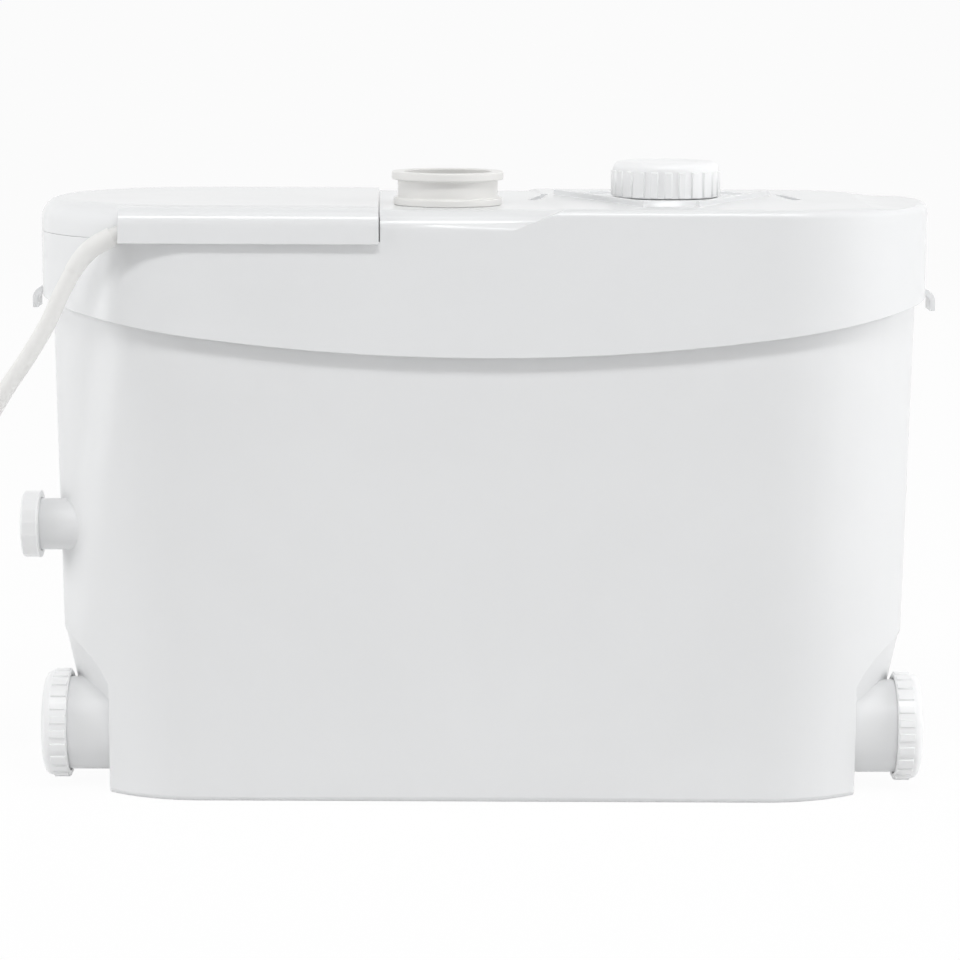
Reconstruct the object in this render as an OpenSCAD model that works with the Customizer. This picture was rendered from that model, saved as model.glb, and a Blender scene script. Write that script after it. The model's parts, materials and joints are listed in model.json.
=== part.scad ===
// Macerator pump unit for a toilet: a free-standing tank with a motor pump hung under its lid.
// Millimetres. Origin at the middle of the tank base, +Z up, -Y is the front, +Y the toilet side.

/* [Tank] */
// Distance from the middle of the unit to the centre of each rounded end
end_centre = 120; // [118:0.5:122]
// Radius of the rounded ends at the base of the tank
tank_r_base = 61.5; // [60.5:0.1:62]
// Radius of the rounded ends at the rim of the tank
tank_r_rim = 66; // [65.2:0.1:66.4]
// Height of the tank rim
tank_h = 232; // [229:0.5:235]
// Thickness of the tank walls
tank_wall = 3.2; // [2.8:0.1:3.6]
// Thickness of the tank floor
tank_floor = 3.5; // [3:0.1:4.5]
// Width of the thickened rim that carries the gasket
rim_w = 6; // [5.5:0.1:6.5]
// Height of the thickened rim
rim_h = 6; // [5:0.5:8]
// Bevel along the bottom edge of the tank
base_bevel = 2; // [1:0.25:3]
// Distance from the middle to the flat wall of each end recess
recess_x = 159; // [158:0.25:160]
// Height of the flat wall of each end recess
recess_h = 47; // [46.5:0.25:49]
// Rise of the recess ceiling for each millimetre outwards
recess_slope = 0.64; // [0.6:0.01:0.68]
// How far the ceiling arches above its mean line
recess_arch = 5; // [4.5:0.1:5.5]

/* [Side ports] */
// Gap between the flange of an inlet valve and the front wall of the tank
port_gap = 0.2; // [0.1:0.05:0.5]
// Height of the two low inlets
inlet_z = 26; // [25.5:0.1:26.5]
// Outer radius of an inlet spigot, for a 40 mm waste pipe
spigot_r = 20; // [19.8:0.05:20.2]
// Wall of an inlet spigot
spigot_wall = 3; // [2.6:0.1:3.4]
// Distance from the middle to the open edge of a side cap
side_cap_x = 177.4; // [177:0.1:178.4]
// Width of the hood over an inlet spigot
hood_w = 44; // [42:0.5:46]
// Height of the small drain port
drain_z = 113; // [108:0.5:118]
// Outer radius of the small drain spigot
drain_r = 11; // [10.5:0.1:11.5]
// Bore radius of the small drain spigot
drain_bore = 8; // [7:0.1:9]
// Distance from the middle to the open edge of the drain cap
drain_cap_x = 189; // [188:0.1:190]

/* [Screw caps] */
// Radius of a cap at the roots of its ribs
cap_r = 22.6; // [22.4:0.1:23]
// Height of a rib on the side of a cap
cap_rib_h = 0.8; // [0.5:0.05:1.2]
// Width of a rib
cap_rib_w = 4.2; // [3:0.1:5]
// Number of ribs
cap_ribs = 24; // [20:1:28]
// Height of the top cap
cap_h = 15; // [14:0.25:16]
// Height of the two side caps
side_cap_h = 10.9; // [10.5:0.1:11.5]
// Thickness of the end of a cap
cap_end = 3; // [2.5:0.1:3.5]
// Rounding at the shoulder of a cap
cap_shoulder = 3.5; // [3:0.25:4]
// Radius of the raised ring on the end of a cap
cap_ring_r = 13; // [11:0.5:15]
// Clearance between a spigot and the cap round it
cap_clear = 0.5; // [0.35:0.05:0.7]
// Thickness of a cap washer
washer_t = 2.5; // [2:0.1:3]
// Inner radius of a cap washer
washer_bore = 12; // [10:0.5:14]
// Radius across the corners of the drain cap
drain_cap_r = 14.5; // [14:0.1:15]
// Height of the drain cap
drain_cap_h = 8.7; // [8.4:0.1:9.4]
// Number of flats on the drain cap
drain_cap_flats = 16; // [14:1:18]

/* [Lid] */
// Outer radius of the rounded ends of the lid
lid_r = 70; // [69.6:0.1:70.6]
// Step from the outside of the lid in to the neck of the tank
lid_step = 4; // [3.6:0.1:4.4]
// Thickness of the lid
lid_wall = 2.8; // [2.4:0.1:3]
// Height of the lid top above its bearing ledge
lid_rise = 15.3; // [15:0.1:16]
// Rounding of the top edge
lid_round = 9; // [8:0.1:9.5]
// Drop from the bearing ledge to the skirt edge at the middle of the front
skirt_drop = 45.4; // [43:0.1:47]
// Radius of the arc of the skirt edge
skirt_arc = 900; // [850:1:1000]
// Thickness of the gasket between tank and lid
gasket_t = 3.5; // [3:0.1:4]
// Height of the raised platform on the right
platform_rise = 0.6; // [0.4:0.1:1]
// Rounding of the top edge of the platform
platform_round = 3.5; // [3:0.1:4.5]
// Place of the middle of the platform's slanted left edge
platform_x = 28; // [27:0.25:28.5]
// Half width of the recess round the top inlet, at its side corners
recess_half = 45.5; // [45:0.25:46]
// Half width of that recess at its front end
recess_nose = 10; // [8:0.5:12]
// Distance of its side corners behind the inlet
recess_side = 30.5; // [29:0.5:32]
// Distance of its front end in front of the inlet
recess_front = 45.5; // [44:0.5:47]
// Distance of its back behind the inlet
recess_back = 56.5; // [54:0.5:58]
// Depth of the recess below the platform
recess_deep = 1.5; // [1.2:0.1:2]
// Width of the raised bars along the front sides of the recess
bar_w = 2; // [1.6:0.1:2.4]
// Height of the bars above the platform
bar_h = 2.4; // [1.8:0.1:2.8]
// Place of the top inlet along the unit
top_inlet_x = 77.5; // [76.5:0.25:78]
// Place of the top inlet across the unit, a little in front of the middle
top_inlet_y = -4.5; // [-6:0.25:-3]
// Gap between the top cap and the platform
top_cap_gap = 1.6; // [1.2:0.1:2]
// Width of a pull tab at the end of the lid
tab_w = 14; // [12:0.5:18]
// Outer radius of the bend of a pull tab
tab_r = 5.6; // [5.2:0.1:6]
// Thickness of a pull tab
tab_t = 2.4; // [2:0.1:2.6]
// Length of the straight leg of a pull tab
tab_leg = 3.8; // [3:0.1:4.5]

/* [Terminal compartment] */
// Place of the right edge of the terminal cover, at the front
cover_x = -43; // [-44:0.25:-42.5]
// Gap between the cover and the step of the lid
cover_gap = 0.3; // [0.25:0.05:0.6]
// Height of the cover top above the lid
cover_rise = 1.2; // [1:0.1:1.6]
// Thickness of the cover
cover_wall = 2.2; // [1.8:0.1:2.4]
// Thickness of the lid deck under the cover
deck_t = 2.5; // [2.2:0.1:3]
// Depth of the dry tub under the cover
tub_depth = 24; // [23:0.25:25]
// Gap between the dry tub and the rim of the tank
tub_gap = 4; // [3:0.1:4.4]
// Place of the right wall of the dry tub
tub_x = -52; // [-53:0.25:-51]
// Place of the left end of the cover's front apron
apron_x = -150; // [-152:0.5:-148]
// Distance that the apron stands in front of the lid
apron_out = 3; // [2.8:0.1:3.6]
// Play under the cover, so that it lifts off freely
cover_play = 0.03; // [0.02:0.01:0.05]
// Distance that the apron laps over the front of the lid, below the deck
apron_lap = 1; // [0.6:0.1:1.4]
// Rounding of the top edge of the apron
apron_round = 7; // [6.6:0.1:7.4]

/* [Discharge] */
// Place of the discharge along the unit
outlet_x = -15.5; // [-16:0.1:-15]
// Distance of the discharge in front of the middle
outlet_off = 30; // [29.5:0.1:30.5]
// Outer radius of the discharge spigot
outlet_r = 21; // [20.8:0.05:21.2]
// Bore radius of the discharge spigot
outlet_bore = 18.5; // [18.2:0.05:18.7]
// Height of the discharge spigot above the lid
outlet_h = 14; // [13:0.25:15]
// Radius of the flange at the mouth of the spigot
outlet_flange_r = 23.5; // [23:0.1:24]
// Thickness of that flange
outlet_flange_t = 3.4; // [3:0.1:4]
// Radius of the collar at the foot of the spigot
outlet_collar_r = 22.75; // [22.4:0.05:23.2]
// Thickness of the collar
outlet_collar_t = 3; // [2.5:0.1:3.5]
// Depth that the spigot plugs into the valve body, below the top of the lid
outlet_plug = 16; // [15:0.25:17]
// Outer radius of the valve body
valve_r = 22; // [21.6:0.1:22.4]
// Inner radius of the valve chamber
valve_bore = 19.5; // [19.3:0.05:19.7]
// Height of the valve body
valve_h = 53; // [52:0.25:54]
// Thickness of the valve seat
seat_t = 6; // [5:0.25:7]
// Radius of the hole in the valve seat
seat_bore = 12; // [11:0.1:12.5]
// Outer radius of the riser pipe
riser_r = 16; // [15.8:0.05:16.2]
// Wall of the riser pipe and of the pump outlet
riser_wall = 3; // [2.5:0.1:3.4]

/* [Inlet valves] */
// Thickness of the flange of a valve seat
valve_flange_t = 3; // [2.6:0.1:3.4]
// Radius of that flange
valve_flange_r = 20.6; // [20.4:0.1:20.8]
// Thickness of a flap
flap_t = 2.5; // [2:0.1:3]
// Gap between a flap and its seat
flap_gap = 0.3; // [0.2:0.05:0.5]
// Radius of an inlet flap
inlet_flap_r = 16; // [15.5:0.1:16.5]
// Radius of a flap's hinge pin
pin_r = 1.2; // [1:0.05:1.4]
// Clearance of a hinge pin in its flap
pin_clear = 0.05; // [0.03:0.01:0.08]
// Radius of a flap's hinge knuckle
knuckle_r = 2.4; // [2.3:0.05:2.5]

/* [Toilet inlet] */
// Height of the toilet inlet
toilet_z = 110; // [108:0.5:112]
// Bore radius of the rubber sleeve, for a 100 mm toilet outlet
sleeve_bore = 50.5; // [50:0.1:51]
// Outer radius of the tank collar inside the sleeve
collar_r = 53; // [52.6:0.1:53.4]
// Wall of the tank collar
collar_wall = 5; // [4.5:0.1:5.5]
// Distance from the middle to the end of the tank collar
collar_end = 85; // [84:0.5:87]
// Wall of the sleeve over the collar
sleeve_wall = 4; // [3.5:0.1:4.5]
// Gap between the near end of the sleeve and the tank
sleeve_gap = 2.75; // [2:0.25:3.5]
// Distance from the middle to the open end of the sleeve
sleeve_end = 115; // [112:0.5:118]
// Thickness of a hose clip band
clip_t = 1; // [0.8:0.1:1.4]
// Width of a hose clip band
clip_w = 9; // [8:0.25:10]
// Radius of a hose clip screw
clip_screw_r = 2.5; // [2:0.1:3]

/* [Motor and pump] */
// Place of the motor along the unit
motor_x = -80; // [-80.5:0.1:-79.5]
// Outer radius of the motor can
can_r = 43; // [42.5:0.1:43.2]
// Wall of the motor can
can_wall = 2.5; // [2.2:0.1:3]
// Gap between the pump and the tank floor
foot_gap = 16.5; // [14:0.5:19]
// Thickness of the motor plate
plate_t = 4.5; // [4:0.1:5]
// Height of the bosses that carry the motor plate
boss_h = 4; // [3.5:0.1:5]
// Distance of the plate screws outside the motor can
plate_screw_out = 5; // [4.6:0.1:5.4]
// Radius of the motor shaft
shaft_r = 6; // [5.8:0.05:6.2]
// Running clearance round the shaft
shaft_clear = 0.05; // [0.03:0.01:0.09]
// Outer radius of a bearing
bearing_r = 16; // [15.5:0.1:16.5]
// Width of a bearing
bearing_w = 9; // [8:0.25:10]
// Room in the can at each end of the stator core
stator_room = 23.5; // [22.5:0.25:25]
// Bore radius of the stator core
stator_bore = 24; // [23.5:0.1:24.5]
// Air gap between rotor and stator
air_gap = 0.5; // [0.4:0.05:0.8]
// Outer radius of the macerator basket
basket_r = 46; // [45.5:0.1:46.4]
// Height of the macerator basket
basket_h = 40; // [39:0.25:41]
// Number of slots round the basket
basket_slots = 20; // [16:1:22]
// Outer radius of the pump volute
volute_r = 38; // [37:0.25:38.5]
// Height of the pump volute
volute_h = 36; // [35:0.25:37]
// Radius of the impeller
impeller_r = 31; // [30:0.25:32]
// Number of impeller vanes
impeller_vanes = 6; // [5:1:8]
// Reach of the macerator blade
blade_r = 40; // [38:0.25:41]

/* [Electrical parts] */
// Radius of the capacitor
capacitor_r = 14; // [13:0.25:14.5]
// Length of the capacitor
capacitor_len = 62; // [58:0.5:66]
// Radius of the pressure tube
tube_r = 9; // [8.5:0.1:9.5]
// Gap between the pressure tube and the tank floor
tube_gap = 10.5; // [8:0.5:14]
// Radius of the pressure switch
switch_r = 13; // [12:0.1:13.4]
// Free travel of the pressure switch plunger
plunger_travel = 1.5; // [1:0.1:2]
// Length of the terminal block
block_len = 40; // [36:0.5:44]
// Height of the terminal block
block_h = 9.2; // [8.8:0.1:9.4]

/* [Cable] */
// Diameter of the supply cable
cable_d = 7; // [6.6:0.1:7.2]
// Height of the cable above the lid deck, at the clamp
cable_rise = 5.4; // [5.2:0.1:5.8]
// Distance of the cable behind the front of the lid, at the clamp
cable_in = 4.5; // [4.2:0.1:4.8]
// Radius of the outer turn of the coil
coil_r = 47.5; // [46:0.25:49]
// Step from one turn of the coil to the next
coil_step = 7.7; // [7.6:0.05:8]
// Thickness of the tie round the coil
tie_t = 1.2; // [1:0.1:1.6]
// Width of the tie
tie_w = 6; // [5:0.5:8]
// Radius of a plug pin
plug_pin_r = 2; // [1.9:0.05:2.4]
// Length of a plug pin
plug_pin_len = 19; // [17:0.5:20]
// Spacing of the plug pins
plug_pitch = 19; // [18:0.25:20]

/* [Hidden] */
$fn = 72;
far = 400;
cut = 1;
outlet_y = -outlet_off;
rim_r = lid_r - lid_step;
rim_inside = rim_r - rim_w;
gasket_in = 0.5;
tub_r = rim_inside - tub_gap;

// Heights from the tank rim up through the lid
ledge_z = tank_h + gasket_t;
deck_z = ledge_z + deck_t;
lid_z = ledge_z + lid_rise;
skirt_low = ledge_z - skirt_drop;
recess_points = [
  [-recess_half, recess_side],
  [-recess_nose, -recess_front],
  [recess_nose, -recess_front],
  [recess_half, recess_side],
  [recess_half - 15, recess_back],
  [-recess_half + 15, recess_back]
];
platform_turn = 4.5;
platform_lean = 68;
pocket_w = 4;
pocket_len = 36;
pocket_deep = 1.6;
pocket_off = 54;
pocket_y = 15;
pocket_turn = 10;
seam_turn = 1.7;
scoop_x = end_centre + 52;
scoop_r = 60;
scoop_deep = 1;
tab_drop = 27.5;
tab_sink = 1.5;
shoulder = tank_r_rim - rim_r;
shoulder_z = skirt_low - 6;
under_z = lid_z - lid_wall;
platform_z = lid_z + platform_rise;
cover_z = lid_z + cover_rise;

// Heights down from the lid deck through the motor and pump
tub_floor_z = deck_z - tub_depth;
tub_under_z = tub_floor_z - deck_t;
plate_top_z = tub_under_z - boss_h;
plate_z = plate_top_z - plate_t;
volute_z = tank_floor + foot_gap;
basket_z = volute_z + volute_h;
can_z = basket_z + basket_h;
can_len = plate_z - can_z;
can_base_t = 8;
can_flange_r = can_r + 7;
can_flange_t = 4;
seal_h = 10;
seal_lip = 2;
seal_r = shaft_r + 7;
carrier_r = seal_r + 7;
seal_z = can_z - seal_h;
stator_z = can_z + can_base_t + stator_room;
stator_len = can_len - can_base_t - 2 * stator_room;
winding_h = 12;
winding_gap = 1.75;
winding_w = can_r - can_wall - stator_bore - 2 * winding_gap;
plate_screw_r = can_r + plate_screw_out;
impeller_z = volute_z + 11;
hub_r = shaft_r + 4;
stud_r = 3.5;
stud_len = 6;
nut_h = 5;
pump_screw_r = can_r + 3.5;
plate_boss_r = 6;
plate_hole_r = 2;
plate_screw_angles = [80, 150, 210, 280];
pump_screw_angles = [90, 210, 330];

// Discharge path
outlet_dx = outlet_x - motor_x;
outlet_run = sqrt(outlet_dx * outlet_dx + outlet_off * outlet_off);
outlet_angle = atan2(outlet_y, outlet_dx);
outlet_z = volute_z + 16;
valve_z = under_z - valve_h;
socket_deep = 12;
seat_lap = 2;
valve_top_r = outlet_r + 3.5;
valve_pin_x = -15.7;
valve_pin_z = valve_z + seat_t + 4;

// Caps: depth inside, and where a spigot ends
cap_rib_gap = 0.3;
function spigot_reach(h) = h - cap_end - washer_t;
cap_bore = spigot_r + cap_clear;
drain_cap_deep = drain_cap_h - 2;
drain_washer_t = 2;
drain_reach = drain_cap_deep - drain_washer_t;
top_cap_z = platform_z + top_cap_gap;

// End recesses: arc of the ceiling, and the inset wall of the hoods
recess_out = end_centre + lid_r;
ceiling_run = recess_out - recess_x;
ceiling_rise = ceiling_run * recess_slope;
ceiling_half = sqrt(ceiling_run * ceiling_run + ceiling_rise * ceiling_rise) / 2;
ceiling_r = (ceiling_half * ceiling_half + recess_arch * recess_arch) / (2 * recess_arch);
ceiling_x = recess_x + ceiling_run / 2 + (ceiling_r - recess_arch) * ceiling_rise / (2 * ceiling_half);
ceiling_z = recess_h + ceiling_rise / 2 - (ceiling_r - recess_arch) * ceiling_run / (2 * ceiling_half);
hood_in = 7.5;
hood_lean = 9.4;

// Inlet valves, measured outwards from the middle of the unit; the tank wall sets how far forward they sit
inner_wall_x = recess_x - tank_wall;
seat_x = inner_wall_x - valve_flange_t;
seat_front = sqrt(pow(body_r(inlet_z) - tank_wall, 2) - pow(inner_wall_x - end_centre, 2));
port_y = -(seat_front - valve_flange_r - port_gap);
bush_wall = 3;
bush_len = 10;
flap_x = seat_x - flap_gap - flap_t;
flap_pin_x = seat_x - flap_gap - flap_t / 2;
flap_pin_up = spigot_r + 0.5;
knuckle_half = 6;
lug_t = 3;
lug_gap = 0.4;

// Toilet inlet: the sleeve stops short of the drafted wall, with a clip near each end
sleeve_r = collar_r + sleeve_wall;
sleeve_start = body_r(toilet_z + sleeve_r) + sleeve_gap;
clip_inset = 5.5;
clip_screw_up = 4.5;
inner_clip_y = sleeve_start + clip_inset;
outer_clip_y = sleeve_end - clip_inset - clip_w;

// Dry compartment
switch_x = -143;
switch_y = 24;
tube_z = tank_floor + tube_gap;
tube_flange_t = 2.5;
switch_z = tub_floor_z + tube_flange_t;
switch_h = 13.5;
plunger_hole = 6;
capacitor_x = -127;
capacitor_y = 22;
clamp_x = -137;
clamp_len = 12;
tail_len = 15;
wire_len = 10;
block_x = clamp_x + clamp_len + tail_len + wire_len;
cable_z = deck_z + cable_rise;
cable_y = -(lid_r - cable_in);
cable_r = cable_d / 2;
clamp_wall = 1.3;
clamp_back = 10.7;
clamp_bevel = 2.4;
clamp_h = cable_rise + cable_r + clamp_wall;
clamp_sink = 3;

// Route of the free cable, chosen by hand, from the clamp down to the start of the coil
coil_x = -279;
coil_y = 60;
coil_z = cable_r + tie_t;
coil_turns = 4.5;
coil_layer = cable_d + 0.6;
coil_end_x = coil_x - coil_r;
coil_end_z = coil_z + coil_layer;
coil_start_x = coil_x + coil_r;
loop_rings = 24;
coil_angle = 360 * coil_turns;
climb_from = coil_angle / 2 - 90;
plug_len = 36;
plug_w = 34;
boot_neck = 14;
boot_len = 28;
plug_y = coil_y - cable_d;
route = [
  [clamp_x, cable_y, cable_z],
  [-144, -65.8, cable_z - 0.8],
  [-153, -66.6, cable_z - 4.2],
  [-163, -68, 233],
  [-172, -71, 219],
  [-179, -74, 204],
  [-187, -77, 190.5],
  [-196, -79, 177],
  [-206, -80, 159],
  [-215, -79, 135],
  [-222, -75, 108],
  [-227, -67, 82],
  [-230, -54, 57],
  [-231.5, -35, 34],
  [-231.5, -10, 16],
  [-231.5, 20, 6.4],
  [coil_start_x, 40, coil_z],
  [coil_start_x, coil_y - cable_d, coil_z]
];

// Points along an arc, from one angle to another
function arc(x, y, r, from, to, steps = 6) =
  [for (i = [0 : steps]) let (a = from + (to - from) * i / steps) [x + r * cos(a), y + r * sin(a)]];

// Outer radius of the drafted tank body at a height
function body_r(z) = tank_r_base + (tank_r_rim - tank_r_base) * z / tank_h;

// Outer radius of the neck of the tank under the lid skirt, with the same draft
function neck_r(z) = rim_r - (tank_r_rim - tank_r_base) * (tank_h - z) / tank_h;

// Angle on the arched recess ceiling at a distance from the middle, grown inwards by a wall
function ceiling_angle(x, grow) = acos((x - ceiling_x) / (ceiling_r + grow));

// Sweeps a half profile round an oblong: two rounded ends joined by straight sides
module oblong() {
  for (side = [-1, 1])
    translate([side * end_centre, 0, 0])
      rotate([0, 0, -90 * side])
        rotate_extrude(angle = 180)
          children();
  for (side = [0, 1])
    mirror([0, side, 0])
      translate([-end_centre, 0, 0])
        rotate([90, 0, 90])
          linear_extrude(2 * end_centre)
            children();
}

// Solid oblong block between two heights
module oblong_block(r, low, high) {
  oblong()
    translate([0, low])
      square([r, high - low]);
}

// Everything to the left of a place along the unit
module left_of(x) {
  translate([x - far, -far / 2, -cut])
    cube([far, far, far]);
}

// Everything to the left of the slanted seam of the terminal cover, moved to a place at the front
module left_of_seam(x, low = -cut) {
  translate([x, -lid_r, 0])
    rotate([0, 0, seam_turn])
      translate([-far, -far / 2, low])
        cube([far, far, far]);
}

// Everything to the right of that seam
module right_of_seam(x) {
  translate([x, -lid_r, 0])
    rotate([0, 0, seam_turn])
      translate([0, -far / 2, -cut])
        cube([far, far, far]);
}

// Round tube along Z
module pipe(r, bore, h) {
  difference() {
    cylinder(r = r, h = h);
    translate([0, 0, -cut])
      cylinder(r = bore, h = h + 2 * cut);
  }
}

// Places children on a side port: local Z points out of the unit, local X points up
module side_port(side, z) {
  mirror([side, 0, 0])
    translate([0, port_y, z])
      rotate([0, -90, 0])
        children();
}

// Places children on the motor axis
module on_motor(z) {
  translate([motor_x, 0, z])
    children();
}

// Places children on the discharge axis
module on_outlet(z) {
  translate([outlet_x, outlet_y, z])
    children();
}

// Space cut away at both lower ends, grown inwards by a wall
module end_recess(grow) {
  for (side = [0, 1])
    mirror([side, 0, 0])
      rotate([90, 0, 0])
        translate([0, 0, -far / 2])
          linear_extrude(far)
            polygon(concat(
              [[recess_x - grow, -cut], [recess_out, -cut]],
              arc(
                ceiling_x, ceiling_z, ceiling_r + grow,
                ceiling_angle(recess_out, grow), ceiling_angle(recess_x - grow, grow)
              )
            ));
}

// Inset end wall over an inlet spigot, shrunk by a wall
module hood_form(shrink) {
  low = inlet_z + (shrink > 0 ? spigot_r + shrink : 0);
  hood_top = recess_h + 24;
  hood_r = tank_r_base - hood_in - shrink;
  for (side = [0, 1])
    mirror([side, 0, 0])
      intersection() {
        translate([-end_centre, 0, inlet_z])
          cylinder(r1 = hood_r, r2 = hood_r + hood_lean, h = hood_top - inlet_z);
        translate([-far, port_y - hood_w / 2 + shrink, low])
          cube([far - inner_wall_x + shrink, hood_w - 2 * shrink, hood_top - low - shrink]);
      }
}

// Profile points of the shoulder where the body and the neck of the tank differ, moved in by a wall
function shoulder_points(z, wall) =
  shoulder == 0 ? [] : [[body_r(z) - wall, z], [neck_r(z) - wall, z]];

module tank_outside() {
  oblong()
    polygon(concat(
      [[0, 0], [tank_r_base - base_bevel, 0], [body_r(base_bevel), base_bevel]],
      shoulder_points(shoulder_z, 0),
      [[rim_r, tank_h], [0, tank_h]]
    ));
}

module tank_inside() {
  rim_z = tank_h - rim_h;
  shelf_z = rim_z - (rim_w - tank_wall);
  oblong()
    polygon(concat(
      [[0, tank_floor], [body_r(tank_floor) - tank_wall, tank_floor]],
      shoulder_points(shoulder_z - sign(shoulder) * tank_wall, tank_wall),
      [
        [neck_r(shelf_z) - tank_wall, shelf_z],
        [rim_inside, rim_z],
        [rim_inside, tank_h + cut],
        [0, tank_h + cut]
      ]
    ));
}

// One-piece tank with its spigots and the collar for the toilet
module tank() {
  collar_start = body_r(toilet_z) - tank_wall;
  color("whitesmoke")
    difference() {
      union() {
        difference() {
          tank_outside();
          end_recess(0);
          difference() {
            tank_inside();
            end_recess(tank_wall);
          }
        }
        intersection() {
          hood_form(0);
          end_recess(tank_wall / 2);
        }
        for (side = [0, 1])
          side_port(side, inlet_z)
            translate([0, 0, inner_wall_x])
              cylinder(r = spigot_r, h = side_cap_x + spigot_reach(side_cap_h) - inner_wall_x);
        side_port(0, drain_z)
          translate([0, 0, inner_wall_x + 12])
            cylinder(r = drain_r, h = drain_cap_x + drain_reach - inner_wall_x - 12);
        translate([0, collar_start, toilet_z])
          rotate([-90, 0, 0])
            cylinder(r = collar_r, h = collar_end - collar_start);
      }
      hood_form(tank_wall);
      for (side = [0, 1])
        side_port(side, inlet_z)
          translate([0, 0, inner_wall_x - cut])
            cylinder(r = spigot_r - spigot_wall, h = far);
      side_port(0, drain_z)
        translate([0, 0, inner_wall_x])
          cylinder(r = drain_bore, h = far);
      translate([0, end_centre / 3, toilet_z])
        rotate([-90, 0, 0])
          cylinder(r = collar_r - collar_wall, h = far);
    }
}

// Half profile of a lid or cover with a rounded top edge
module lid_profile(r, round, low, top) {
  polygon(concat([[0, low], [r, low]], arc(r - round, top - round, round, 0, 90), [[0, top]]));
}

// Hooked tabs on the ends of the lid skirt, for lifting the lid off
module pull_tabs() {
  tab_z = ledge_z - tab_drop;
  color("white")
    difference() {
      for (side = [0, 1])
        mirror([side, 0, 0])
          rotate([90, 0, 0])
            translate([end_centre + lid_r - tab_sink, tab_z, -tab_w / 2])
              linear_extrude(tab_w) {
                intersection() {
                  difference() {
                    circle(tab_r);
                    circle(tab_r - tab_t);
                  }
                  square(tab_r + cut);
                }
                translate([tab_r - tab_t, -tab_leg])
                  square([tab_t, tab_leg]);
                translate([-tab_r, tab_r - tab_t])
                  square([tab_r, tab_t]);
              }
      oblong_block(lid_r, tab_z, tab_z + 2 * tab_r);
    }
}

// Outward normal of one side of an outline that runs anticlockwise
function side_normal(a, b) = [b[1] - a[1], a[0] - b[0]] / norm(b - a);

// Outline with every side moved outwards by the same distance
function grown(points, grow) = [
  for (i = [0 : len(points) - 1])
    let (
      back = points[(i + len(points) - 1) % len(points)],
      next = points[(i + 1) % len(points)],
      a = side_normal(back, points[i]),
      b = side_normal(points[i], next)
    )
    points[i] + grow * (a + b) / (1 + a * b)
];

// Raised bar along one front side of the recess, seen from above
module recess_bar() {
  out = bar_w * side_normal(recess_points[0], recess_points[1]);
  polygon([recess_points[0], recess_points[0] + out, recess_points[1] + out, recess_points[1]]);
}

// Places children on the axis of the top inlet
module on_top_inlet(z) {
  translate([top_inlet_x, top_inlet_y, z])
    children();
}

module lid_shell() {
  difference() {
    intersection() {
      union() {
        oblong()
          lid_profile(lid_r, lid_round, skirt_low - 5, lid_z);
        intersection() {
          oblong()
            lid_profile(lid_r, platform_round, skirt_low - 5, platform_z);
          translate([platform_x, 0, platform_z])
            rotate([0, 0, platform_turn])
              rotate([0, platform_lean, 0])
                translate([0, -far / 2, -far / 2])
                  cube([far, far, far]);
        }
      }
      translate([0, 0, skirt_low + skirt_arc])
        rotate([90, 0, 0])
          translate([0, 0, -far / 2])
            cylinder(r = skirt_arc, h = far, $fn = 720);
    }
    oblong()
      lid_profile(lid_r - lid_wall, lid_round - lid_wall + 0.5, skirt_low - 10, under_z);
    left_of_seam(cover_x, deck_z);
  }
}

// Rib under the lid that bears on the gasket, and the deck under the terminal cover
module lid_inside() {
  intersection() {
    difference() {
      oblong_block(rim_r - gasket_in, ledge_z, under_z + 0.5);
      oblong_block(rim_inside + gasket_in, ledge_z - cut, under_z + cut);
    }
    right_of_seam(cover_x);
  }
  intersection() {
    oblong_block(lid_r - lid_wall / 2, ledge_z, deck_z);
    left_of_seam(cover_x + lid_wall);
  }
  intersection() {
    oblong_block(lid_r - lid_wall / 2, ledge_z, under_z + 0.5);
    right_of_seam(cover_x);
    left_of_seam(cover_x + lid_wall);
  }
}

// Form of the dry tub between two heights, shrunk by a wall
module tub_form(shrink, low, high) {
  intersection() {
    oblong_block(tub_r - shrink, low, high);
    left_of(tub_x - shrink);
  }
}

// Holes or bosses on the screw circle of the motor plate
module on_plate_screws(z) {
  for (angle = plate_screw_angles)
    on_motor(z)
      rotate([0, 0, angle])
        translate([plate_screw_r, 0, 0])
          children();
}

// Dry tub welded under the opening of the lid deck, with the bosses for the motor plate
module dry_tub() {
  screw_deep = 5;
  color("white")
    difference() {
      union() {
        tub_form(0, tub_under_z, ledge_z);
        on_plate_screws(plate_top_z)
          cylinder(r = plate_boss_r, h = boss_h + 0.5);
      }
      tub_form(deck_t, tub_floor_z, ledge_z + cut);
      translate([switch_x, switch_y, tub_under_z - cut])
        cylinder(r = tube_r, h = tub_depth);
      on_plate_screws(plate_top_z - cut)
        cylinder(r = plate_hole_r, h = screw_deep + cut);
    }
}

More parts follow.
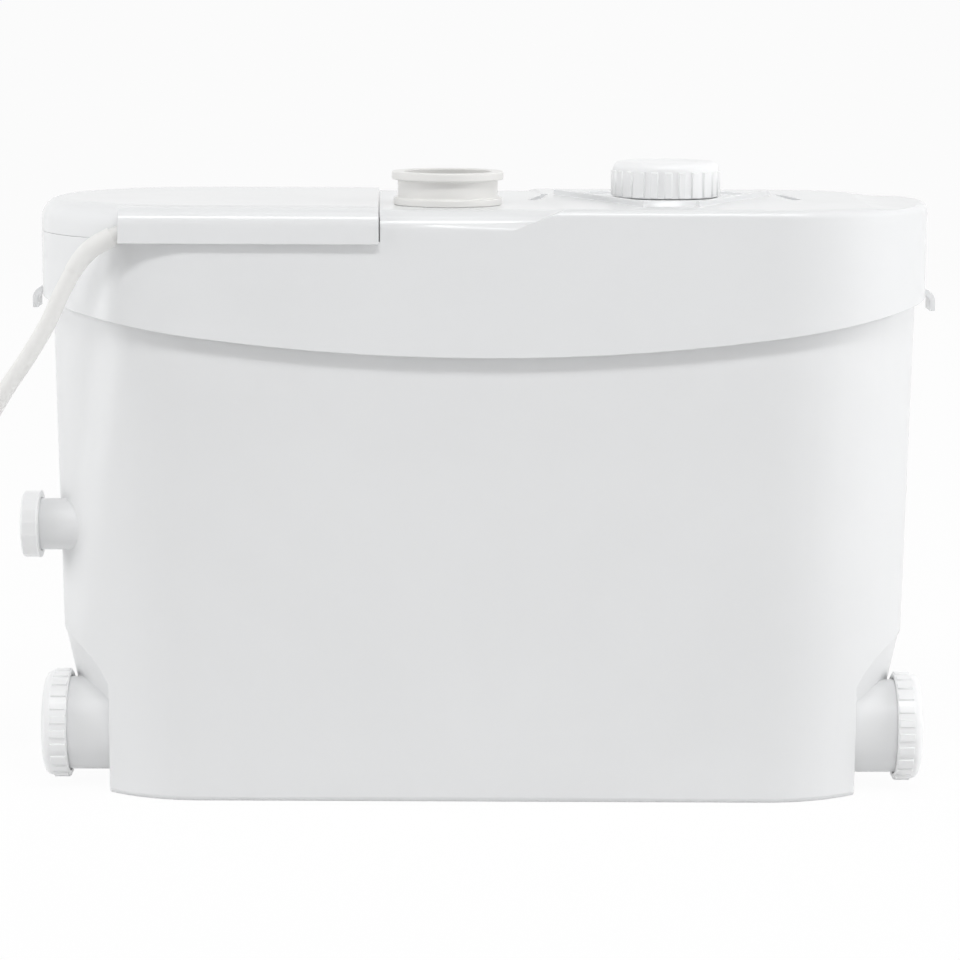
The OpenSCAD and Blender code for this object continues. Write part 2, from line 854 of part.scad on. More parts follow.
// Lid with the opening for the dry tub, and the inlet neck in its shallow recess
module lid() {
  recess_z = platform_z - recess_deep;
  neck_top = top_cap_z + spigot_reach(cap_h);
  color("white")
    difference() {
      union() {
        difference() {
          union() {
            lid_shell();
            lid_inside();
            on_top_inlet(recess_z - lid_wall)
              linear_extrude(lid_wall + recess_deep - 0.4)
                polygon(grown(recess_points, lid_wall));
          }
          on_top_inlet(recess_z)
            linear_extrude(far)
              polygon(recess_points);
          tub_form(deck_t, ledge_z - cut, deck_z + cut);
        }
        for (side = [0, 1])
          on_top_inlet(recess_z)
            mirror([side, 0, 0])
              linear_extrude(recess_deep + bar_h)
                recess_bar();
        on_top_inlet(recess_z - lid_wall)
          cylinder(r = spigot_r, h = neck_top - recess_z + lid_wall);
      }
      on_top_inlet(recess_z - lid_wall - cut)
        cylinder(r = spigot_r - spigot_wall, h = far);
      on_outlet(ledge_z)
        cylinder(r = outlet_r + 0.2, h = far);
      for (side = [0, 1])
        translate([top_inlet_x, pocket_y, lid_z - pocket_deep])
          mirror([side, 0, 0])
            translate([pocket_off, 0, 0])
              rotate([0, 0, pocket_turn])
                translate([-pocket_w / 2, -pocket_len / 2, 0])
                  cube([pocket_w, pocket_len, far]);
      translate([scoop_x, far / 2, platform_z + scoop_r - scoop_deep])
        rotate([90, 0, 0])
          cylinder(r = scoop_r, h = far);
      clamp_screw_place(deck_z - deck_t - cut)
        cylinder(r = 1.5, h = deck_t + 2 * cut);
    }
}

module lid_gasket() {
  color("dimgray")
    difference() {
      oblong_block(rim_r - gasket_in, tank_h, ledge_z);
      oblong_block(rim_inside + gasket_in, tank_h - cut, ledge_z + cut);
    }
}

// Cover over the dry tub, with the front apron that the cable comes out of
module terminal_cover() {
  front = lid_r + apron_out;
  edge_x = cover_x - cover_gap;
  apron_z = deck_z - apron_lap;
  inner_z = cover_z - cover_wall;
  round_y = apron_round - front;
  round_z = cover_z - apron_round - 0.4;
  apron_inside = front - cover_wall;
  channel_back = lid_r - 10;
  color("white")
    difference() {
      union() {
        intersection() {
          oblong()
            lid_profile(lid_r, lid_round, deck_z + cover_play, cover_z);
          left_of_seam(edge_x);
        }
        intersection() {
          translate([apron_x, 0, 0])
            rotate([90, 0, 90])
              linear_extrude(edge_x - apron_x + cut)
                polygon(concat(
                  [[-channel_back, apron_z], [-front, apron_z]],
                  arc(round_y, round_z, apron_round, 180, 90),
                  [[-channel_back, cover_z - 0.4]]
                ));
          left_of_seam(edge_x);
        }
      }
      intersection() {
        oblong()
          lid_profile(lid_r - cover_wall, lid_round - cover_wall, deck_z - cut, inner_z);
        left_of_seam(edge_x + cut);
      }
      translate([apron_x - cut, 0, 0])
        rotate([90, 0, 90])
          linear_extrude(edge_x - apron_x + 3 * cut)
            polygon(concat(
              [[-channel_back, apron_z - cut], [-apron_inside, apron_z - cut]],
              arc(round_y, round_z, apron_round - cover_wall, 180, 90),
              [[-channel_back, round_z + apron_round - cover_wall]]
            ));
    }
}

// Spigot that plugs through the lid into the valve body
module discharge_spigot() {
  color("white")
    on_outlet(lid_z - outlet_plug)
      difference() {
        union() {
          cylinder(r = outlet_r, h = outlet_plug + outlet_h);
          translate([0, 0, outlet_plug])
            cylinder(r = outlet_collar_r, h = outlet_collar_t);
          translate([0, 0, outlet_plug + outlet_h - outlet_flange_t])
            cylinder(r = outlet_flange_r, h = outlet_flange_t);
        }
        translate([0, 0, -cut])
          cylinder(r = outlet_bore, h = far);
      }
}

// Ribbed screw cap of height h, open end at z = 0
module screw_cap(h) {
  difference() {
    union() {
      rotate_extrude()
        polygon(concat(
          [[0, 0], [cap_r, 0]],
          arc(cap_r - cap_shoulder, h - cap_shoulder, cap_shoulder, 0, 90),
          [[cap_ring_r + 1, h], [cap_ring_r, h - 0.6], [0, h - 0.6]]
        ));
      for (i = [0 : cap_ribs - 1])
        rotate([0, 0, 360 * (i + 0.5) / cap_ribs])
          translate([cap_r - 1, -cap_rib_w / 2, cap_rib_gap])
            cube([1 + cap_rib_h, cap_rib_w, h - cap_shoulder - 2 * cap_rib_gap]);
    }
    translate([0, 0, -cut])
      cylinder(r = cap_bore, h = h - cap_end + cut);
  }
}

// Washer between a spigot and its cap of height h
module cap_washer(h) {
  translate([0, 0, spigot_reach(h)])
    pipe(spigot_r - 0.4, washer_bore, washer_t);
}

module top_cap() {
  color("white")
    on_top_inlet(top_cap_z)
      screw_cap(cap_h);
}

module top_cap_washer() {
  color("dimgray")
    on_top_inlet(top_cap_z)
      cap_washer(cap_h);
}

module left_cap() {
  color("white")
    side_port(0, inlet_z)
      translate([0, 0, side_cap_x])
        screw_cap(side_cap_h);
}

module left_cap_washer() {
  color("dimgray")
    side_port(0, inlet_z)
      translate([0, 0, side_cap_x])
        cap_washer(side_cap_h);
}

module right_cap() {
  color("white")
    side_port(1, inlet_z)
      translate([0, 0, side_cap_x])
        screw_cap(side_cap_h);
}

module right_cap_washer() {
  color("dimgray")
    side_port(1, inlet_z)
      translate([0, 0, side_cap_x])
        cap_washer(side_cap_h);
}

// Faceted cap of the drain port
module drain_cap() {
  color("white")
    side_port(0, drain_z)
      translate([0, 0, drain_cap_x])
        difference() {
          cylinder(r = drain_cap_r, h = drain_cap_h, $fn = drain_cap_flats);
          translate([0, 0, -cut])
            cylinder(r = drain_r + cap_clear, h = drain_cap_deep + cut);
        }
}

module drain_cap_washer() {
  color("dimgray")
    side_port(0, drain_z)
      translate([0, 0, drain_cap_x + drain_reach])
        pipe(drain_r - 0.3, drain_bore - 2, drain_washer_t);
}

// Flanged bush in the inner end of an inlet spigot, with two hinge lugs
module inlet_seat(side) {
  lug_y = knuckle_half + lug_gap;
  lug_deep = seat_x - flap_pin_x + knuckle_r;
  lug_low = inlet_flap_r + lug_gap;
  color("lightgray")
    side_port(side, inlet_z)
      difference() {
        union() {
          translate([0, 0, seat_x])
            cylinder(r = valve_flange_r, h = valve_flange_t);
          translate([0, 0, seat_x])
            cylinder(r = spigot_r - spigot_wall, h = valve_flange_t + bush_len);
          for (y = [lug_y, -lug_y - lug_t])
            translate([lug_low, y, seat_x - lug_deep])
              cube([flap_pin_up + knuckle_r - lug_low, lug_t, lug_deep + 1]);
        }
        translate([0, 0, seat_x - cut])
          cylinder(r = spigot_r - spigot_wall - bush_wall, h = far);
        inlet_pin_shape();
      }
}

// Hinge pin of an inlet flap, in the frame of the port
module inlet_pin_shape() {
  half = knuckle_half + lug_gap + lug_t;
  translate([flap_pin_up, -half, flap_pin_x])
    rotate([-90, 0, 0])
      cylinder(r = pin_r, h = 2 * half);
}

module inlet_flap(side) {
  color("dimgray")
    side_port(side, inlet_z)
      difference() {
        union() {
          translate([0, 0, flap_x])
            cylinder(r = inlet_flap_r, h = flap_t);
          translate([0, -knuckle_half, flap_x])
            cube([flap_pin_up, 2 * knuckle_half, flap_t]);
          translate([flap_pin_up, -knuckle_half, flap_pin_x])
            rotate([-90, 0, 0])
              cylinder(r = knuckle_r - 0.9, h = 2 * knuckle_half);
        }
        translate([flap_pin_up, -knuckle_half - cut, flap_pin_x])
          rotate([-90, 0, 0])
            cylinder(r = pin_r + pin_clear, h = 2 * (knuckle_half + cut));
      }
}

module inlet_pin(side) {
  color("silver")
    side_port(side, inlet_z)
      inlet_pin_shape();
}

module left_valve_seat() {
  inlet_seat(0);
}

module left_valve_flap() {
  inlet_flap(0);
}

module left_valve_pin() {
  inlet_pin(0);
}

module right_valve_seat() {
  inlet_seat(1);
}

module right_valve_flap() {
  inlet_flap(1);
}

module right_valve_pin() {
  inlet_pin(1);
}

// Places children on the toilet inlet: local Z points out of the back of the unit
module on_toilet(y) {
  translate([0, y, toilet_z])
    rotate([-90, 0, 0])
      children();
}

// Rubber sleeve over the tank collar, with a bead at each end
module inlet_sleeve() {
  bead = 1.2;
  bead_w = 3;
  color("dimgray")
    on_toilet(sleeve_start)
      difference() {
        union() {
          cylinder(r = sleeve_r, h = sleeve_end - sleeve_start);
          for (z = [0, sleeve_end - sleeve_start - bead_w, (sleeve_end - sleeve_start - bead_w) / 2])
            translate([0, 0, z])
              cylinder(r = sleeve_r + bead, h = bead_w);
        }
        translate([0, 0, -cut])
          cylinder(r = collar_r, h = collar_end - sleeve_start + cut);
        translate([0, 0, -cut])
          cylinder(r = sleeve_bore, h = far);
      }
}

// Band of a hose clip with its screw housing on top
module hose_clip(y) {
  housing_w = 16;
  housing_h = 8;
  color("silver") {
    difference() {
      union() {
        on_toilet(y)
          pipe(sleeve_r + clip_t, sleeve_r, clip_w);
        translate([-housing_w / 2, y, toilet_z + sleeve_r])
          cube([housing_w, clip_w, housing_h]);
      }
      clip_screw_place(y)
        translate([0, 0, -far / 2])
          cylinder(r = clip_screw_r, h = far);
    }
  }
}

// Axis of a hose clip screw, along the unit through the housing
module clip_screw_place(y) {
  translate([0, y + clip_w / 2, toilet_z + sleeve_r + clip_screw_up])
    rotate([0, 90, 0])
      children();
}

module inner_hose_clip() {
  hose_clip(inner_clip_y);
}

module outer_hose_clip() {
  hose_clip(outer_clip_y);
}

module hose_clip_screws() {
  color("silver")
    for (y = [inner_clip_y, outer_clip_y])
      clip_screw_place(y) {
        translate([0, 0, -9])
          cylinder(r = clip_screw_r, h = 18);
        translate([0, 0, 8])
          cylinder(r = 4, h = 5, $fn = 6);
      }
}

// Plate under the tub that carries the motor
module motor_plate() {
  color("gainsboro")
    difference() {
      union() {
        on_motor(plate_z) {
          cylinder(r = can_r + 2, h = plate_t);
          for (angle = plate_screw_angles)
            rotate([0, 0, angle]) {
              translate([plate_screw_r, 0, 0])
                cylinder(r = plate_boss_r, h = plate_t);
              translate([can_r - 5, -plate_boss_r, 0])
                cube([plate_screw_r - can_r + 5, 2 * plate_boss_r, plate_t]);
            }
        }
        on_motor(plate_z - bearing_w)
          cylinder(r = bearing_r + 4, h = bearing_w + 1);
      }
      on_motor(plate_z - bearing_w - cut)
        cylinder(r = bearing_r, h = bearing_w + cut);
      on_plate_screws(plate_z - cut)
        cylinder(r = plate_hole_r, h = plate_t + 2 * cut);
    }
}

module motor_screws() {
  head_h = 3;
  color("silver")
    on_plate_screws(plate_z - head_h) {
      cylinder(r = 3.5, h = head_h);
      cylinder(r = plate_hole_r, h = head_h + plate_t + 5);
    }
}

// Sealed can round the motor, with a flange for the basket
module motor_can() {
  color("silver")
    on_motor(can_z)
      difference() {
        union() {
          cylinder(r = can_r, h = can_len);
          cylinder(r = can_flange_r, h = can_flange_t);
        }
        difference() {
          translate([0, 0, can_base_t])
            cylinder(r = can_r - can_wall, h = far);
          cylinder(r = bearing_r + 4, h = can_base_t + bearing_w);
        }
        translate([0, 0, can_base_t])
          cylinder(r = bearing_r, h = far);
        translate([0, 0, -cut])
          cylinder(r = shaft_r + 1, h = far);
        pump_screw_holes(-cut, can_flange_t + 2 * cut);
      }
}

// Holes or shanks on the pump screw circle
module pump_screw_holes(z, h) {
  for (angle = pump_screw_angles)
    rotate([0, 0, angle])
      translate([pump_screw_r, 0, z])
        cylinder(r = 1.5, h = h);
}

module pump_screws() {
  color("silver")
    on_motor(can_z) {
      pump_screw_holes(-4, can_flange_t + 4);
      for (angle = pump_screw_angles)
        rotate([0, 0, angle])
          translate([pump_screw_r, 0, can_flange_t])
            cylinder(r = 2.8, h = 2);
    }
}

module stator_core() {
  color("gray")
    on_motor(stator_z)
      pipe(can_r - can_wall, stator_bore, stator_len);
}

module stator_windings() {
  color("peru")
    for (z = [stator_z - winding_h, stator_z + stator_len])
      on_motor(z)
        rotate_extrude()
          translate([(stator_bore + can_r - can_wall) / 2, winding_h / 2])
            intersection() {
              square([winding_w, winding_h], center = true);
              circle(winding_w * 0.58);
            }
}

module bearing() {
  pipe(bearing_r, shaft_r + shaft_clear, bearing_w);
}

module upper_bearing() {
  color("silver")
    on_motor(plate_z - bearing_w)
      bearing();
}

module lower_bearing() {
  color("silver")
    on_motor(can_z + can_base_t)
      bearing();
}

// Holder of the shaft seal under the motor can
module seal_carrier() {
  color("gray")
    on_motor(seal_z)
      difference() {
        cylinder(r = carrier_r, h = seal_h);
        translate([0, 0, seal_lip])
          cylinder(r = seal_r, h = far);
        translate([0, 0, -cut])
          cylinder(r = shaft_r + 1.5, h = far);
      }
}

module shaft_seal() {
  color("dimgray")
    on_motor(seal_z + seal_lip)
      pipe(seal_r, shaft_r + shaft_clear, seal_h - seal_lip);
}

module motor_shaft() {
  color("silver") {
    on_motor(impeller_z)
      cylinder(r = shaft_r, h = plate_z - 1 - impeller_z);
    on_motor(impeller_z - stud_len)
      cylinder(r = stud_r, h = stud_len + cut);
  }
}

module rotor_core() {
  color("gray")
    on_motor(stator_z - 1)
      pipe(stator_bore - air_gap, shaft_r, stator_len + 2);
}

// Two-armed cutter that spins in the basket
module macerator_blade() {
  hub_h = 10;
  arm_w = 12;
  arm_t = 3;
  hub_z = seal_z - hub_h - 6;
  color("silver")
    on_motor(hub_z)
      difference() {
        union() {
          cylinder(r = hub_r, h = hub_h);
          translate([-blade_r, -arm_w / 2, (hub_h - arm_t) / 2])
            cube([2 * blade_r, arm_w, arm_t]);
        }
        translate([0, 0, -cut])
          cylinder(r = shaft_r, h = far);
      }
}

module impeller() {
  plate_h = 3;
  hub_h = 19;
  vane_h = 14;
  vane_t = 2.5;
  vane_start = hub_r - 2;
  color("dimgray")
    on_motor(impeller_z)
      difference() {
        union() {
          cylinder(r = impeller_r, h = plate_h);
          cylinder(r = hub_r, h = hub_h);
          for (i = [0 : impeller_vanes - 1])
            rotate([0, 0, 360 * i / impeller_vanes])
              translate([vane_start, -vane_t / 2, plate_h - 0.5])
                cube([impeller_r - 1 - vane_start, vane_t, vane_h]);
        }
        translate([0, 0, -cut])
          cylinder(r = shaft_r, h = far);
      }
}

module impeller_nut() {
  color("silver")
    on_motor(impeller_z - nut_h)
      difference() {
        cylinder(r = 2 * stud_r, h = nut_h, $fn = 6);
        translate([0, 0, -cut])
          cylinder(r = stud_r, h = far);
      }
}

// Slotted basket that holds the waste against the blade
module macerator_basket() {
  slot_w = 4;
  window_w = 44;
  floor_t = 3;
  land = 4;
  inner = basket_r - 2.5;
  slot_h = basket_h - floor_t - can_flange_t - 2 * land;
  beside_window = asin((window_w / 2 + slot_w) / basket_r);
  all_angles = [for (i = [0 : basket_slots - 1]) 360 * (i + 0.5) / basket_slots];
  slot_angles = [for (a = all_angles) if (cos(a) < cos(beside_window)) a];
  color("lightgray")
    on_motor(basket_z)
      difference() {
        union() {
          cylinder(r = basket_r, h = basket_h);
          translate([0, 0, basket_h - can_flange_t])
            cylinder(r = can_flange_r, h = can_flange_t);
        }
        translate([0, 0, floor_t])
          cylinder(r = inner, h = far);
        translate([0, 0, -cut])
          cylinder(r = shaft_r + 9, h = far);
        for (a = slot_angles)
          rotate([0, 0, a])
            translate([inner - 1, -slot_w / 2, floor_t + land])
              cube([10, slot_w, slot_h]);
        translate([inner / 2, -window_w / 2, floor_t + land])
          cube([basket_r, window_w, slot_h]);
        pump_screw_holes(basket_h - can_flange_t - cut, far);
      }
}

// Pump casing under the basket, with its outlet tube
module pump_volute() {
  outlet_tube_r = riser_r - 1;
  wall = 3;
  color("lightgray")
    on_motor(volute_z)
      difference() {
        union() {
          cylinder(r = volute_r, h = volute_h);
          rotate([0, 0, outlet_angle])
            translate([volute_r - 8, 0, outlet_z - volute_z])
              rotate([0, 90, 0])
                cylinder(r = outlet_tube_r, h = outlet_run - volute_r - 4);
        }
        translate([0, 0, wall])
          cylinder(r = volute_r - wall, h = far);
        rotate([0, 0, outlet_angle])
          translate([volute_r - 8, 0, outlet_z - volute_z])
            rotate([0, 90, 0])
              cylinder(r = outlet_tube_r - riser_wall, h = far);
      }
}

// Pipe from the pump outlet up to the check valve
module riser_pipe() {
  foot_z = outlet_z - riser_r;
  socket_len = 24;
  color("lightgray")
    difference() {
      union() {
        on_outlet(foot_z)
          cylinder(r = riser_r, h = valve_z - foot_z);
        riser_socket(socket_len)
          cylinder(r = riser_r + 2, h = socket_len);
      }
      on_outlet(foot_z + riser_wall)
        cylinder(r = riser_r - riser_wall, h = far);
      riser_socket(socket_len)
        translate([0, 0, -cut])
          cylinder(r = riser_r - 1, h = socket_len - 12 + cut);
      riser_socket(socket_len)
        cylinder(r = riser_r - 1 - riser_wall, h = socket_len);
    }
}

// Places children at the mouth of the riser's side socket, local Z towards the riser
module riser_socket(len) {
  on_motor(outlet_z)
    rotate([0, 0, outlet_angle])
      translate([outlet_run - len, 0, 0])
        rotate([0, 90, 0])
          children();
}

// Chamber under the discharge spigot with a seat and the lugs of its flap
module check_valve_body() {
  socket_z = lid_z - outlet_plug;
  lug_y = 5 + lug_gap;
  lug_h = valve_pin_z + knuckle_r - valve_z - seat_t;
  color("lightgray")
    difference() {
      union() {
        difference() {
          union() {
            on_outlet(valve_z)
              cylinder(r = valve_r, h = valve_h);
            on_outlet(socket_z - 3)
              cylinder(r = valve_top_r, h = under_z - socket_z + 3);
          }
          on_outlet(valve_z + seat_t)
            cylinder(r = valve_bore, h = far);
        }
        on_outlet(valve_z - socket_deep)
          cylinder(r = riser_r + 3, h = socket_deep + 1);
        for (y = [lug_y, -lug_y - lug_t])
          on_outlet(valve_z + seat_t - 0.5)
            translate([valve_pin_x - knuckle_r, y, 0])
              cube([2 * knuckle_r, lug_t, lug_h + 0.5]);
      }
      on_outlet(valve_z - socket_deep - cut)
        cylinder(r = riser_r, h = socket_deep + cut);
      on_outlet(valve_z - cut)
        cylinder(r = seat_bore, h = seat_t + 2 * cut);
      on_outlet(socket_z)
        cylinder(r = outlet_r, h = far);
      check_pin_shape();
    }
}

module check_pin_shape() {
  half = 5 + lug_gap + lug_t;
  on_outlet(valve_pin_z)
    translate([valve_pin_x, -half, 0])
      rotate([-90, 0, 0])
        cylinder(r = pin_r, h = 2 * half);
}

module check_valve_flap() {
  flap_z = valve_z + seat_t + flap_gap;
  color("dimgray")
    difference() {
      union() {
        on_outlet(flap_z)
          cylinder(r = seat_bore + seat_lap, h = flap_t);
        on_outlet(flap_z)
          translate([valve_pin_x, -5, 0])
            cube([6, 10, valve_pin_z - flap_z]);
        on_outlet(valve_pin_z)
          translate([valve_pin_x, -5, 0])
            rotate([-90, 0, 0])
              cylinder(r = knuckle_r, h = 10);
      }
      on_outlet(valve_pin_z)
        translate([valve_pin_x, -5 - cut, 0])
          rotate([-90, 0, 0])
            cylinder(r = pin_r + pin_clear, h = 10 + 2 * cut);
    }
}

module check_valve_pin() {
  color("silver")
    check_pin_shape();
}

// Tube that lets the rising water push air up to the pressure switch
module pressure_tube() {
  color("lightgray")
    translate([switch_x, switch_y, tube_z])
      difference() {
        union() {
          cylinder(r = tube_r, h = switch_z - tube_z);
          translate([0, 0, tub_floor_z - tube_z])
            cylinder(r = switch_r - 1, h = tube_flange_t);
        }
        translate([0, 0, -cut])
          cylinder(r = tube_r - 2, h = far);
      }
}

// Pressure switch with the bridge that holds its contact block
module pressure_switch() {
  bridge_z = switch_h + 6;
  color("darkslategray")
    translate([switch_x, switch_y, switch_z])
      difference() {
        union() {
          cylinder(r = switch_r, h = switch_h);
          for (y = [-11, 8])
            translate([-4, y, switch_h - 1])
              cube([8, 3, bridge_z - switch_h + 2]);
          translate([-6, -11, bridge_z])
            cube([12, 22, 9]);
        }
        translate([0, 0, switch_h - plunger_hole])
          cylinder(r = 3.3, h = plunger_hole + 1);
      }
}

module switch_plunger() {
  color("orange")
    translate([switch_x, switch_y, switch_z + switch_h - plunger_hole]) {
      cylinder(r = 3, h = plunger_hole + 1.5);
      translate([0, 0, plunger_hole + 1])
        cylinder(r = 5, h = 5 - plunger_travel - 0.8);
    }
}

// Motor capacitor lying in the tub, with its terminal end
module capacitor() {
  color("lightslategray")
    translate([capacitor_x, capacitor_y, tub_floor_z + capacitor_r])
      rotate([0, 90, 0]) {
        cylinder(r = capacitor_r, h = capacitor_len);
        cylinder(r = capacitor_r - 3, h = capacitor_len + 3);
        translate([0, -6, 0])
          cube([capacitor_r, 12, capacitor_len]);
      }
}

// Terminal block on the lid deck, in line with the cable
module terminal_block() {
  color("ivory")
    translate([block_x, cable_y - 4.2, deck_z])
      difference() {
        cube([block_len, 13, block_h]);
        terminal_holes(6, 10);
      }
}

module terminal_holes(z, h) {
  for (i = [0 : 3])
    translate([5 + i * (block_len - 10) / 3, 6.5, z])
      cylinder(r = 2.2, h = h);
}

module terminal_screws() {
  color("goldenrod")
    translate([block_x, cable_y - 4.2, deck_z])
      terminal_holes(6, 3);
}

// Clamp that holds the cable where it comes in under the apron
module cable_clamp() {
  front = cable_y - cable_r - clamp_wall;
  back = cable_y + clamp_back;
  color("gainsboro")
    difference() {
      translate([clamp_x, 0, deck_z])
        rotate([90, 0, 90])
          linear_extrude(clamp_len)
            polygon([
              [front, 0],
              [back, 0],
              [back, clamp_h],
              [front + clamp_bevel, clamp_h],
              [front, clamp_h - clamp_bevel]
            ]);
      translate([clamp_x - cut, cable_y, cable_z])
        rotate([0, 90, 0])
          cylinder(r = cable_r, h = clamp_len + 2 * cut);
      clamp_screw_place(deck_z - cut)
        cylinder(r = 1.5, h = far);
      clamp_screw_place(deck_z + clamp_h - clamp_sink)
        cylinder(r = 3, h = far);
    }
}

// Axis of the clamp screw, upright beside the cable
module clamp_screw_place(z) {
  translate([clamp_x + clamp_len / 2, cable_y + 7.2, z])
    children();
}

module clamp_screw() {
  color("silver") {
    clamp_screw_place(ledge_z)
      cylinder(r = 1.5, h = deck_t + 9);
    clamp_screw_place(deck_z + clamp_h - clamp_sink)
      cylinder(r = 3, h = 2);
  }
}

// Cable inside the clamp, its stripped end and three cores up to the terminal block
module cable_tail() {
  color("whitesmoke")
    translate([clamp_x, cable_y, cable_z])
      rotate([0, 90, 0]) {
        cylinder(r = cable_r, h = clamp_len + tail_len);
        for (y = [-2, 0, 2])
          translate([0, y, clamp_len + tail_len - cut])
            cylinder(r = 0.9, h = wire_len + cut);
      }
}

// Point on a smooth curve through four neighbours
function smooth_point(a, b, c, d, t) =
  0.5 * (2 * b + (c - a) * t + (2 * a - 5 * b + 4 * c - d) * t * t + (3 * b - a - 3 * c + d) * t * t * t);

// Smooth curve through a route, with a few points for each leg and straight ends
function smooth_route(p, steps) =
  let (n = len(p) - 1)
  concat(
    [for (i = [0 : n - 1], s = [0 : steps - 1])
      let (
        before = i > 0 ? p[i - 1] : 2 * p[0] - p[1],
        after = i < n - 1 ? p[i + 2] : 2 * p[n] - p[n - 1]
      )
      smooth_point(before, p[i], p[i + 1], after, s / steps)],
    [p[n]]
  );

function unit(v) = v / norm(v);

// Direction of a path at one of its points
function heading(path, i, first, last) =
  i == 0 ? first
  : i == len(path) - 1 ? last
  : unit(path[i + 1] - path[i - 1]);

// Tube along a path: one ring of points at each path point, closed at both ends
module swept_tube(path, r, sides, up, first, last) {
  rings = len(path);
  points = [
    for (i = [0 : rings - 1])
      let (
        along = heading(path, i, first, last),
        across = unit(cross(along, up)),
        over = cross(across, along)
      )
      for (k = [0 : sides - 1])
        path[i] + r * (cos(360 * k / sides) * across + sin(360 * k / sides) * over)
  ];
  sides_faces = [
    for (i = [0 : rings - 2], k = [0 : sides - 1])
      let (a = i * sides + k, b = i * sides + (k + 1) % sides)
      [a, b, b + sides, a + sides]
  ];
  first_face = [[for (k = [sides - 1 : -1 : 0]) k]];
  last_face = [[for (k = [0 : sides - 1]) (rings - 1) * sides + k]];
  polyhedron(points = points, faces = concat(sides_faces, first_face, last_face));
}

module supply_cable() {
  color("whitesmoke")
    swept_tube(smooth_route(route, 2), cable_r, 10, [1, 0.6, -1], [-1, 0, 0], [0, 1, 0]);
}

// Radius and height of the coil at a turning angle: in on one layer, over in half a turn, out on the next
function coil_radius(a) = coil_r - coil_step * min(a, coil_angle - a) / 360;

function coil_height(a) =
  let (t = min(max((a - climb_from) / 180, 0), 1))
  coil_z + coil_layer * (1 - cos(180 * t)) / 2;

function coil_point(a) =
  [coil_x + coil_radius(a) * cos(a), coil_y + coil_radius(a) * sin(a), coil_height(a)];

coil_path = concat(
  [[coil_start_x, coil_y - cable_d, coil_z]],
  [for (i = [0 : coil_turns * loop_rings]) coil_point(360 * i / loop_rings)],
  [[coil_end_x, coil_y - cable_d, coil_end_z]]
);

// Least gap between turns that pass each other
coil_gap = min([
  for (i = [0 : len(coil_path) - 1], j = [i + loop_rings / 2 : 1 : len(coil_path) - 1])
    norm(coil_path[i] - coil_path[j])
]) - cable_d;
echo(coil_gap = coil_gap);

module cable_coil() {
  color("whitesmoke")
    swept_tube(coil_path, cable_r, 6, [0, 0, 1], [0, 1, 0], [0, -1, 0]);
}

// Strap round all the turns of the coil, on its far side
module coil_tie() {
  low = coil_r - 2.25 * coil_step - cable_r;
  wide = coil_r - low + cable_r + 0.6;
  high = cable_d + coil_layer + 0.3;
  color("black")
    translate([coil_x, coil_y, 0])
      rotate([90, 0, 90])
        translate([low - tie_t, 0, -tie_w / 2])
          linear_extrude(tie_w)
            difference() {
              square([wide + 2 * tie_t, high + 2 * tie_t]);
              translate([tie_t, tie_t])
                square([wide, high]);
            }
}

// Moulded plug with a bend-relief boot, lying on the floor beside the coil
module plug_body() {
  half_h = coil_end_z;
  bevel = 5;
  color("whitesmoke")
    translate([coil_end_x, plug_y, coil_end_z]) {
      rotate([90, 0, 0])
        rotate_extrude()
          polygon([
            [0, 0],
            [cable_r + 0.5, 0],
            [cable_r + 0.5, boot_neck],
            [8, boot_len + cut],
            [0, boot_len + cut]
          ]);
      translate([0, -boot_len, 0])
        rotate([90, 0, 0])
          linear_extrude(plug_len)
            polygon([
              [-plug_w / 2, -half_h + bevel], [-plug_w / 2 + bevel, -half_h],
              [plug_w / 2 - bevel, -half_h], [plug_w / 2, -half_h + bevel],
              [plug_w / 2, half_h - bevel], [plug_w / 2 - bevel, half_h],
              [-plug_w / 2 + bevel, half_h], [-plug_w / 2, half_h - bevel]
            ]);
    }
}

module plug_pins() {
  color("silver")
    for (x = [-plug_pitch / 2, plug_pitch / 2])
      translate([coil_end_x + x, plug_y - boot_len - plug_len, coil_end_z])
        rotate([90, 0, 0])
          cylinder(r = plug_pin_r, h = plug_pin_len);
}

tank();
lid();
dry_tub();
pull_tabs();
lid_gasket();
terminal_cover();
discharge_spigot();
top_cap();
top_cap_washer();
left_cap();
left_cap_washer();
right_cap();
right_cap_washer();
drain_cap();
drain_cap_washer();
left_valve_seat();
left_valve_flap();
left_valve_pin();
right_valve_seat();
right_valve_flap();
right_valve_pin();
inlet_sleeve();
inner_hose_clip();
outer_hose_clip();
hose_clip_screws();
motor_plate();
motor_can();
stator_core();
stator_windings();
upper_bearing();
lower_bearing();
seal_carrier();
shaft_seal();
motor_shaft();
rotor_core();
macerator_blade();
impeller();
impeller_nut();
macerator_basket();
pump_volute();
pump_screws();
motor_screws();
riser_pipe();
check_valve_body();
check_valve_flap();
check_valve_pin();
pressure_tube();
pressure_switch();
switch_plunger();
capacitor();
terminal_block();
terminal_screws();
cable_clamp();
clamp_screw();
cable_tail();
supply_cable();
cable_coil();
coil_tie();
plug_body();
plug_pins();
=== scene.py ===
"""Looks of a floor-standing macerator toilet pump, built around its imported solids."""

import json
import logging
import math
from dataclasses import dataclass
from enum import Enum
from functools import cache
from typing import Protocol

import bmesh
import bpy
from mathutils import Matrix, Vector
from mathutils.geometry import interpolate_bezier, intersect_point_line

